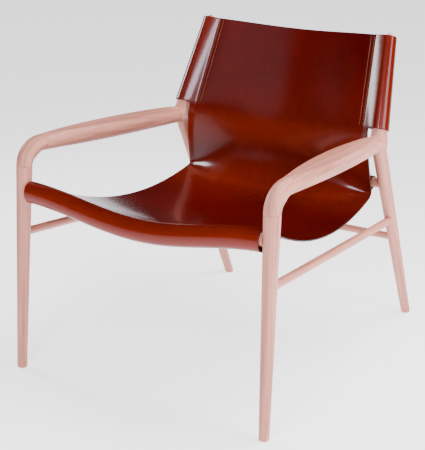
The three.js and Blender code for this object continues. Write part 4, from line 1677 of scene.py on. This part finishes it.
@dataclass
class Hide(LeatherSheet):
    """The hide: front sleeve, seat, fold and back, with a wing round each post."""

    wear: Wear = field(default_factory=Wear)
    columns: int = 46
    edge_columns: int = 3
    hem_steps: int = 5
    meet_steps: int = 4
    sleeve_steps: int = 30
    seat_steps: int = 34
    fold_steps: int = 12
    lumbar_steps: int = 12
    back_steps: int = 30
    arc_steps: int = 24
    slope_steps: int = 6
    eased_back_steps: int = 12
    easing_rounds: int = 60
    notch_steps: int = 4
    rim: float = 0.6 * MM

    def shares(self, profiles: HideProfiles) -> np.ndarray:
        """Column shares from -1 to 1, closer together at the sides.

        Args:
            profiles: the hide's lines.

        Returns:
            A share for each column.
        """
        inner = np.linspace(-1, 1, self.columns + 1) * profiles.stitch_share
        outer = np.linspace(profiles.stitch_share, 1, self.edge_columns + 1)[1:]
        return np.concatenate((-outer[::-1], inner, outer))

    def front_run(self, seat: SeatProfile) -> Iterator[tuple[Spot, float, float]]:
        """The hem and the front sleeve.

        Args:
            seat: the hide's profile.

        Yields:
            Points, each with the hide's spread and its warm tone there, partly wear and partly
            painted light.
        """
        sizes, wear, spread = self.sizes, self.wear, self.sizes.sleeve_spread
        for step in range(self.hem_steps + 1):
            reach = sizes.hem_reach + sizes.hem_flap * (1 - step / self.hem_steps)
            yield seat.hem(reach), spread, wear.hem
        start = seat.hem(sizes.hem_reach)
        away = (start.y - seat.oval.y, start.z - seat.oval.z)
        swing = math.acos((seat.wide + seat.high) / 2 / math.hypot(*away))
        meet = math.atan2(away[1], away[0]) - swing + 2 * math.pi
        for step in range(1, self.meet_steps):
            spot = start.towards(seat.on_oval(meet), step / self.meet_steps)
            yield spot, spread, wear.under_sleeve
        for angle in np.linspace(meet, seat.leave, self.sleeve_steps + 1):
            yield seat.on_oval(angle), spread, wear.on_sleeve(angle)

    def seat_run(self, seat: SeatProfile) -> Iterator[tuple[Spot, float, float]]:
        """The hanging seat and the fold.

        Args:
            seat: the hide's profile.

        Yields:
            Points, each with the hide's spread and its warm tone there, partly wear and partly
            painted light.
        """
        sizes, wear = self.sizes, self.wear
        for step in range(1, self.seat_steps + 1):
            share = seat.end_share * step / self.seat_steps
            spread = mix(sizes.sleeve_spread, sizes.fold_spread, share)
            yield seat.on_seat(share), spread, wear.on_seat(share)
        for step in range(1, self.fold_steps + 1):
            share = step / self.fold_steps
            yield seat.on_fold(share), sizes.fold_spread, wear.on_fold(share)

    def lower_column(self, profiles: HideProfiles, s: float) -> tuple[list[Point], list[float]]:
        """One column of the hide from the front hem to the sleeves' foot.

        Args:
            profiles: the hide's lines.
            s: share across.

        Returns:
            Its points, and how warm the dye is at each, partly as wear and partly as painted
            light.
        """
        seat = profiles.seat(s)
        run = [*self.front_run(seat), *self.seat_run(seat)]
        points = [spot.at(s * spread / 2) for spot, spread, _ in run]
        tones = [tone for _, _, tone in run]
        last, aim = points[-1], seat.aim.copy()
        aim[0] = (last[0] + seat.notch[0]) / 2
        for step in range(1, self.lumbar_steps):
            share = step / self.lumbar_steps
            points.append(bend(last, aim, seat.notch, share))
            tones.append(self.wear.on_lumbar(share))
        return points, tones

    def build(self, profiles: HideProfiles) -> bpy.types.Object:
        """Args:
            profiles: the hide's lines.

        Returns:
            The finished object.
        """
        shares = self.shares(profiles)
        lower = [self.lower_column(profiles, s) for s in shares]
        lower_grid = np.array([points for points, _ in lower]).transpose(1, 0, 2)
        lower_tone = np.array([tones for _, tones in lower]).T
        heights = np.linspace(0, 1, self.back_steps + 1)
        back = np.array([[profiles.back_point(s, w) for s in shares] for w in heights])
        wings = np.array([profiles.sleeve(w, self.arc_steps, self.slope_steps).wing
                          for w in heights])
        posts = np.array([profiles.post_at(w) for w in heights])
        left = posts[:, None] + profiles.forward * wings[..., 1:]
        left[..., 0] += wings[..., 0]
        right = left[:, ::-1] * (-1, 1, 1)
        layout = Layout(lower_grid.shape[0], left.shape[1], len(shares))
        grid = np.zeros((layout.lower + len(heights), layout.middle + 2 * layout.wing, 3))
        grid[:layout.lower, layout.panel] = lower_grid
        grid[layout.lower:] = np.concatenate((right, back, left), axis=1)
        self.ease_lumbar(grid, layout, shares / profiles.stitch_share)
        self.round_notches(grid, layout)
        keep = np.ones((grid.shape[0] - 1, grid.shape[1] - 1), dtype=bool)
        keep[:layout.lower, :layout.wing] = False
        keep[:layout.lower, layout.panel.stop - 1:] = False
        marks = self.marks(grid, layout, lower_tone, profiles)
        obj = sheet_object("leather_sling_hide", grid, keep, marks)
        flat_area = sheet_area(obj)
        widths, lengths = run_lengths(grid[layout.lower]), run_lengths(grid[:, layout.centre])
        flat = (float(widths[-1]), float(lengths[-1]))
        self.thicken(obj, self.sizes.leather, self.rim)
        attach(obj, "root")
        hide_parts("leather_sling")
        LOG.info("%s: cut %.3f x %.3f m, area %.3f, %d faces", obj.name, *flat, flat_area,
                 len(obj.data.polygons))
        return obj

    def ease_lumbar(self, grid: np.ndarray, layout: Layout, shares: np.ndarray) -> None:
        """Smooths the run from the fold into the back, most in the middle of the panel.

        Args:
            grid: points of the hide, changed in place.
            layout: how the grid is laid out.
            shares: each column's share of the way from the middle to the seams.
        """
        first = layout.lower - self.lumbar_steps - self.fold_steps
        last = layout.lower + self.eased_back_steps
        weight = np.clip(1 - np.abs(shares) ** 4, 0, 1)[None, :, None] / 2
        panel = grid[:, layout.panel]
        for _ in range(self.easing_rounds):
            inner = panel[first:last]
            mean = (panel[first - 1:last - 1] + panel[first + 1:last + 1]) / 2
            panel[first:last] = mix(inner, mean, weight)

    def round_notches(self, grid: np.ndarray, layout: Layout) -> None:
        """Rounds the two inner corners between the seat's edges and the sleeves' feet.

        Args:
            grid: points of the hide, changed in place.
            layout: how the grid is laid out.
        """
        radius, foot = self.sizes.notch_radius, layout.lower
        steps = range(1, self.notch_steps + 1)
        for edge, outward in ((layout.panel.start, -1), (layout.panel.stop - 1, 1)):
            corner = grid[foot, edge].copy()
            out = unit(grid[foot, edge + outward] - corner)
            down = unit(grid[foot - 1, edge] - corner)
            places = [(foot, edge, 0)]
            places += [(foot - step, edge, -1) for step in steps]
            places += [(foot, edge + outward * step, 1) for step in steps]
            for row, column, way in places:
                share = np.linalg.norm(grid[row, column] - corner) / radius
                if share < 1:
                    angle = math.pi / 4 * (1 + way * share)
                    grid[row, column] = corner + radius * (
                        out * (1 - math.cos(angle)) + down * (1 - math.sin(angle)))

    def marks(self, grid: np.ndarray, layout: Layout, lower_tone: np.ndarray,
              profiles: HideProfiles) -> dict[str, np.ndarray]:
        """Attributes of the hide for its finish.

        Args:
            grid: points of the hide.
            layout: how the grid is laid out.
            lower_tone: warmth of the lower rows.
            profiles: the hide's lines.

        Returns:
            Attribute values by name.
        """
        lower, panel = layout.lower, layout.panel
        heights = np.linspace(0, 1, self.back_steps + 1)
        tone, across, sewn = np.zeros((3, *grid.shape[:2]))
        # warm tone on the sleeves and on the back, fading upward, partly wear and partly painted
        # light
        tone[lower:] = self.wear.wing
        tone[:lower, panel] = lower_tone
        tone[lower:, panel] = self.wear.lumbar * (1 - heights[:, None]) ** 2
        seams = [profiles.post_at(w)[0] - profiles.stitch_inside(w) for w in heights]
        inside = np.array(seams)[:, None] - np.abs(grid[lower:, panel, 0])
        across[lower:, panel] = inside / MM
        across[:lower] = across[lower]
        sewn[lower + 1:] = 1
        hide = np.zeros(grid.shape)
        hide[..., 0] = run_lengths(grid[lower])
        hide[..., 1] = run_lengths(grid[:, layout.centre])[:, None]
        return {"tone": tone, "across": across, "sewn": sewn, "hide": hide}


@dataclass
class RailStrap(LeatherSheet):
    """The strap sewn under the fold that goes up round the rear rail and down again."""

    columns: int = 30
    tail_steps: int = 6
    fold_steps: int = 12
    rear_leaves_at: float = 0.25
    front_leaves_at: float = 0.5
    loop_steps: int = 26
    bridge_steps: int = 3
    rim: float = 0.5 * MM
    tone: float = 0.15
    hide_place: float = 3.0

    def tail(self, seat: SeatProfile, offset: float, leaves_at: float) -> list[Spot]:
        """A tail, sewn under the hide as far as a point of the fold.

        Args:
            seat: the hide's profile.
            offset: how far below the hide's middle the strap lies.
            leaves_at: share of the fold at which it leaves the hide.

        Returns:
            Its points, from its end to the fold.
        """
        start = seat.end_share - self.sizes.strap_tail / seat.run
        flat = [seat.on_seat(mix(start, seat.end_share, k / self.tail_steps))
                for k in range(self.tail_steps)]
        steps = max(1, round(leaves_at * self.fold_steps))
        arc = [seat.on_fold(leaves_at * k / steps) for k in range(steps + 1)]
        return [spot.beside(offset) for spot in flat + arc]

    def loop(self, rail: Spot, first: Spot, last: Spot) -> list[Spot]:
        """The strap's way up, round the rear rail and down again.

        Args:
            rail: the rail's middle.
            first: where the strap leaves the hide behind the rail.
            last: where it comes back in front of the rail.

        Returns:
            The points between these two.
        """
        sizes = self.sizes
        skin = (sizes.rear_rail_diameter / 2 + sizes.glue_gap) * sizes.strap_ease
        radius = skin + sizes.strap_leather / 2
        ends = []
        for spot, way in ((first, 1), (last, -1)):
            y, z = spot.y - rail.y, spot.z - rail.z
            ends.append(math.atan2(z, y) + way * math.acos(radius / math.hypot(y, z)))
        angles = np.linspace(ends[0], ends[1] + 2 * math.pi, self.loop_steps + 1)
        arc = [Spot(rail.y + radius * math.cos(a), rail.z + radius * math.sin(a)) for a in angles]
        shares = np.arange(1, self.bridge_steps) / self.bridge_steps
        rise = [first.towards(arc[0], share) for share in shares]
        fall = [arc[-1].towards(last, share) for share in shares]
        return rise + arc + fall

    def column(self, profiles: HideProfiles, x: float) -> list[Point]:
        """One column of the strap.

        Args:
            profiles: the hide's lines.
            x: place across the chair.

        Returns:
            Its points, from the rear tail to the front one.
        """
        sizes = self.sizes
        seat = profiles.seat(x / (sizes.fold_spread / 2))
        inner = sizes.leather / 2 + sizes.layer_gap + sizes.strap_leather / 2
        outer = inner + sizes.strap_leather + sizes.layer_gap
        rear = self.tail(seat, outer, self.rear_leaves_at)
        front = self.tail(seat, inner, self.front_leaves_at)[::-1]
        rail = Spot(profiles.rear_rail[1], profiles.rear_rail[2])
        return [spot.at(x) for spot in rear + self.loop(rail, rear[-1], front[0]) + front]

    def build(self, profiles: HideProfiles) -> bpy.types.Object:
        """Args:
            profiles: the hide's lines.

        Returns:
            The finished object.
        """
        half = self.sizes.strap_spread / 2
        columns = [self.column(profiles, x) for x in np.linspace(-half, half, self.columns + 1)]
        grid = np.array(columns).transpose(1, 0, 2)
        keep = np.ones((grid.shape[0] - 1, grid.shape[1] - 1), dtype=bool)
        lengths = run_lengths(grid[:, self.columns // 2])
        hide = np.zeros(grid.shape)
        hide[..., 0] = grid[..., 0] + self.hide_place
        hide[..., 1] = lengths[:, None]
        plain = np.zeros(grid.shape[:2])
        marks = {"tone": plain + self.tone, "across": plain, "hide": hide}
        obj = sheet_object("rear_rail_strap_hide", grid, keep, marks)
        flat = (self.sizes.strap_spread, float(lengths[-1]))
        self.thicken(obj, self.sizes.strap_leather, self.rim)
        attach(obj, "root")
        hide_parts("rear_rail_strap")
        LOG.info("%s: cut %.3f x %.3f m, %d faces", obj.name, *flat, len(obj.data.polygons))
        return obj


@dataclass
class StitchRows:
    """Rows of thread, each stitch a slim oval bead laid on the leather."""

    thread: bpy.types.Material
    profiles: HideProfiles
    pitch: float = 5.4 * MM
    length: float = 4.0 * MM
    thickness: float = 0.95 * MM
    proud: float = 0.1 * MM
    smooth: float = 80

    def stitch(self) -> bpy.types.Object:
        """One stitch, modelled along Z.

        Returns:
            The stitch, from which the others are copied.
        """
        deselect_all()
        bpy.ops.mesh.primitive_uv_sphere_add(segments=8, ring_count=6, radius=0.5)
        obj = bpy.context.object
        size = (self.thickness, self.thickness, self.length)
        with edit_mode(obj):
            bpy.ops.transform.resize(value=size, center_override=(0, 0, 0))
        return obj

    def lay(self, first: bpy.types.Object,
            line: list[tuple[Point, Point]]) -> list[bpy.types.Object]:
        """Lays copies of the stitch along a row.

        Args:
            first: the stitch to copy.
            line: the row's points, each with the leather's outward direction.

        Returns:
            The copies.
        """
        copies = []
        pattern = mesh_points(first)
        places, normals = (np.array(rows) for rows in zip(*line))
        lengths = run_lengths(places)
        count = int(lengths[-1] / self.pitch)
        for number in range(count):
            here = (number + 0.5) * lengths[-1] / count
            place = read_line(here, lengths, places)
            way = unit(read_line(here + self.pitch / 10, lengths, places) - place)
            normal = read_line(here, lengths, normals)
            out = unit(normal - way * normal.dot(way))
            copy = first.copy()
            copy.data = first.data.copy()
            bpy.context.scene.collection.objects.link(copy)
            turned = pattern @ np.array((np.cross(out, way), out, way))
            set_mesh_points(copy, turned + place + out * self.proud)
            copies.append(copy)
        return copies

    def rows(self, name: str, lines: list[list[tuple[Point, Point]]]) -> bpy.types.Object:
        """Lays stitches along lines and joins them.

        Args:
            name: name of the joined piece.
            lines: for each row its points, each with the leather's outward direction.

        Returns:
            The joined object.
        """
        first = self.stitch()
        copies = [copy for line in lines for copy in self.lay(first, line)]
        bpy.data.objects.remove(first)
        obj = copies[0]
        select_only(obj)
        for copy in copies:
            copy.select_set(True)
        bpy.ops.object.join()
        obj.name = obj.data.name = name
        obj.data.materials.clear()
        obj.data.materials.append(self.thread)
        smooth_shading(obj, self.smooth)
        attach(obj, "root")
        LOG.info("%s: %d stitches", name, len(copies))
        return obj


@dataclass
class SleeveStitching(StitchRows):
    """The two rows along each side sleeve, seen on the back's front and rear."""

    past_seam: tuple = (2.5 * MM, 11.5 * MM)
    end_margin: float = 0.02
    points: int = 24
    aside: float = 0.02
    above: float = 0.01

    def build(self, side: Side) -> bpy.types.Object:
        """Lays both rows on the front face and on the flap's rear face.

        Args:
            side: the side of the chair.

        Returns:
            The joined rows.
        """
        profiles, sizes = self.profiles, self.profiles.sizes
        depth = 1.5 * (sizes.leather + sizes.layer_gap)
        lines = []
        for inside in self.past_seam:
            front, rear = [], []
            for w in np.linspace(self.end_margin, 1 - self.end_margin, self.points):
                stitched = profiles.post_at(w)[0] - profiles.stitch_inside(w)
                share = (1 - inside / stitched) * profiles.stitch_share
                here = profiles.back_point(share * side.value, w)
                inner = profiles.back_point((share - self.aside) * side.value, w)
                upper = profiles.back_point(share * side.value, w + self.above)
                normal = unit(np.cross(here - inner, upper - here)) * side.value
                front.append((here + normal * sizes.leather / 2, normal))
                rear.append((here - normal * depth, -normal))
            lines += [front, rear]
        return self.rows(f"sleeve_stitches_{side.hand}", lines)


@dataclass
class HemStitching(StitchRows):
    """The rows across the front hem, seen from below, and across the strap's tails."""

    reaches: tuple = (58 * MM, 68 * MM)
    strap_tail_shares: tuple = (0.25, 0.75)
    margin: float = 0.97
    points: int = 40

    @staticmethod
    def under(spot: Spot, offset: float, x: float) -> tuple[Point, Point]:
        """A place on the leather's lower face, and the direction that it faces.

        Args:
            spot: point of the hide's profile.
            offset: how far below the hide's middle the face lies.
            x: place across the chair.

        Returns:
            The place and the direction.
        """
        below = spot.beside(offset)
        return below.at(x), unit(below.at(0) - spot.at(0))

    def build(self) -> bpy.types.Object:
        """Lays the rows under the front hem and under the strap.

        Returns:
            The joined rows.
        """
        profiles, sizes = self.profiles, self.profiles.sizes
        shares = np.linspace(-self.margin, self.margin, self.points)
        offset = sizes.leather / 2 + 2 * (sizes.layer_gap + sizes.strap_leather)
        lines = []
        for reach in self.reaches:
            lines.append([self.under(profiles.seat(s).hem(reach), sizes.leather / 2,
                                     s * sizes.sleeve_spread / 2) for s in shares])
        for tail_share in self.strap_tail_shares:
            line = []
            for x in shares * sizes.strap_spread / 2:
                seat = profiles.seat(x / (sizes.fold_spread / 2))
                back = seat.end_share - sizes.strap_tail * tail_share / seat.run
                line.append(self.under(seat.on_seat(back), offset, x))
            lines.append(line)
        return self.rows("hem_stitches", lines)


def stand(name: str, data: bpy.types.ID, place: tuple, way: Vector) -> bpy.types.Object:
    """Puts a camera or a light in the scene.

    Args:
        name: the object's name.
        data: the camera or light itself.
        place: where it stands.
        way: where it faces.

    Returns:
        The new object.
    """
    obj = bpy.data.objects.new(name, data)
    bpy.context.scene.collection.objects.link(obj)
    obj.location = place
    obj.rotation_euler = way.to_track_quat("-Z", "Y").to_euler()
    return obj


@dataclass(frozen=True)
class SoftBox:
    """One soft light: where it stands, what it looks at and how it shines."""

    name: str
    place: tuple
    aim: tuple
    size: tuple
    power: float
    colour: tuple = (1.0, 0.97, 1.0)

    def build(self) -> None:
        """Adds the light."""
        data = bpy.data.lights.new(self.name, "AREA")
        data.shape = "RECTANGLE"
        data.size, data.size_y = self.size
        data.energy = self.power
        data.color = self.colour
        stand(self.name, data, self.place, Vector(self.aim) - Vector(self.place))


@dataclass(frozen=True)
class Studio:
    """Camera, floor, room and lights.

    A span is the part of a value that counts and what it leads to.
    """

    camera_place: tuple = (1.5857, -2.501, 1.2841)
    azimuth: float = 33.42
    elevation: float = 18.29
    lens: float = 102.07
    sensor_width: float = 36.0
    floor_size: float = 26.0
    floor_tones: tuple = ((0.86, 0.85, 0.90, 1), (0.88, 0.87, 0.91, 1))
    floor_roughness: tuple = (0.8, 0.9)
    floor_cloud_scale: float = 2
    floor_glow: float = 1.75
    floor_glow_tint: tuple = (0.97, 0.96, 1.0, 1)
    room_tint: tuple = (0.97, 0.95, 1.0, 1)
    room_span: tuple = (-0.35, 0.25, 0.005, 0.045)
    sheen_way: tuple = (-0.258, -0.844, 0.469)
    sheen_span: tuple = (0.955, 0.999, 0, 1.1)
    soft_boxes: tuple = (
        SoftBox("key_right", (1.85, -0.1, 1.0), (0.25, 0, 0.5), (0.8, 1.3), 46),
        SoftBox("top_right", (0.8, 0.5, 2.3), (0.2, 0, 0.5), (1.3, 1.3), 70),
        SoftBox("strip_front", (0.57, -2.16, 1.88), (-0.25, 0.22, 0.65), (0.42, 0.6), 38,
                (0.94, 0.86, 1.0)),
        SoftBox("fill_camera", (2.3, -2.5, 2.1), (0, 0, 0.5), (1.6, 1.4), 32),
        SoftBox("strip_left", (-1.69, -0.06, 1.1), (0.25, 0.24, 0.65), (0.46, 0.5), 24),
    )

    def build(self) -> None:
        """Builds the whole studio."""
        self.build_camera()
        self.build_floor()
        self.build_room()
        for box in self.soft_boxes:
            box.build()

    def build_camera(self) -> None:
        """Sets the camera where the picture was taken from."""
        data = bpy.data.cameras.new("camera")
        data.sensor_width = self.sensor_width
        data.sensor_fit = "AUTO"
        data.lens = self.lens
        turn, rise = math.radians(self.azimuth), math.radians(self.elevation)
        back = Vector((math.sin(turn) * math.cos(rise), -math.cos(turn) * math.cos(rise),
                       math.sin(rise)))
        bpy.context.scene.camera = stand("camera", data, self.camera_place, -back)

    def build_floor(self) -> None:
        """Lays the plain pale floor."""
        deselect_all()
        bpy.ops.mesh.primitive_plane_add(size=self.floor_size)
        floor = bpy.context.object
        floor.name = "floor"
        nodes = Nodes("white_floor")
        cloud = nodes.noise(nodes.place(), self.floor_cloud_scale, detail=2)
        floor.data.materials.append(nodes.finish(
            Base_Color=nodes.blend(cloud, *self.floor_tones),
            Roughness=nodes.span(cloud, 0, 1, *self.floor_roughness),
            Emission_Color=self.floor_glow_tint, Emission_Strength=self.floor_glow))

    def build_room(self) -> None:
        """Makes the room bright behind the chair, and dim behind the camera but for one glow."""
        world = bpy.data.worlds.new("studio_room")
        bpy.context.scene.world = world
        world.use_nodes = True
        nodes = NodeTree(world.node_tree)
        place = nodes.add("ShaderNodeTexCoord").outputs["Generated"]
        turn = math.radians(self.azimuth)
        behind = (-math.sin(turn), math.cos(turn), 0)
        glows = []
        for way, span in ((behind, self.room_span), (self.sheen_way, self.sheen_span)):
            facing = nodes.add("ShaderNodeVectorMath", {0: place, 1: way}, operation="DOT_PRODUCT")
            glows.append(nodes.span(facing.outputs["Value"], *span, ease="SMOOTHSTEP"))
        background = world.node_tree.nodes["Background"]
        nodes.feed(background.inputs["Strength"], nodes.total(*glows))
        nodes.feed(background.inputs["Color"], self.room_tint)


@dataclass
class Chair:
    """The whole chair, built piece by piece."""

    finishes: dict[str, bpy.types.Material] = field(default_factory=dict)

    def build_finishes(self) -> None:
        """Makes each material once."""
        leather = LeatherFinish("oxblood_leather",
                                rows=tuple(row / MM for row in SleeveStitching.past_seam))
        strap = LeatherFinish("strap_leather", roughness=0.42)
        for finish in (WoodFinish(), DowelFinish(), leather, strap, CutEdgeFinish(),
                       ThreadFinish()):
            self.finishes[finish.name] = finish.material()

    def build_frame(self) -> None:
        """Builds the wooden pieces and dresses the dowels, which stay as they are."""
        wood = self.finishes["pale_wood"]
        for side in Side:
            for kind in (FrontLeg, ArmCorner, Armrest, RearLeg, SideStretcher):
                kind(side, wood).build()
            for part in ("leg_dowel", "corner_dowel", "knee_dowel"):
                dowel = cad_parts[f"{part}_{side.hand}"]
                dowel.data.materials.clear()
                dowel.data.materials.append(self.finishes["dowel_wood"])
        for kind in (FrontRail, RearRail, RearStretcher):
            kind(None, wood).build()

    def build_leather(self) -> None:
        """Builds the hide, its strap and the thread."""
        profiles = HideProfiles(HideSizes())
        edge = self.finishes["cut_edge"]
        thread = self.finishes["waxed_thread"]
        Hide(self.finishes["oxblood_leather"], edge).build(profiles)
        RailStrap(self.finishes["strap_leather"], edge).build(profiles)
        for side in Side:
            SleeveStitching(thread, profiles).build(side)
        HemStitching(thread, profiles).build()

    def build(self) -> None:
        """Builds everything."""
        self.build_finishes()
        self.build_frame()
        self.build_leather()


def write_sizes() -> None:
    """Brings the view layer up to date."""
    bpy.context.view_layer.update()


def main() -> None:
    """Builds the chair in its studio."""
    logging.basicConfig(level=logging.INFO, format="%(name)s: %(message)s")
    Studio().build()
    Chair().build()
    write_sizes()


if __name__ == "__main__":
    main()
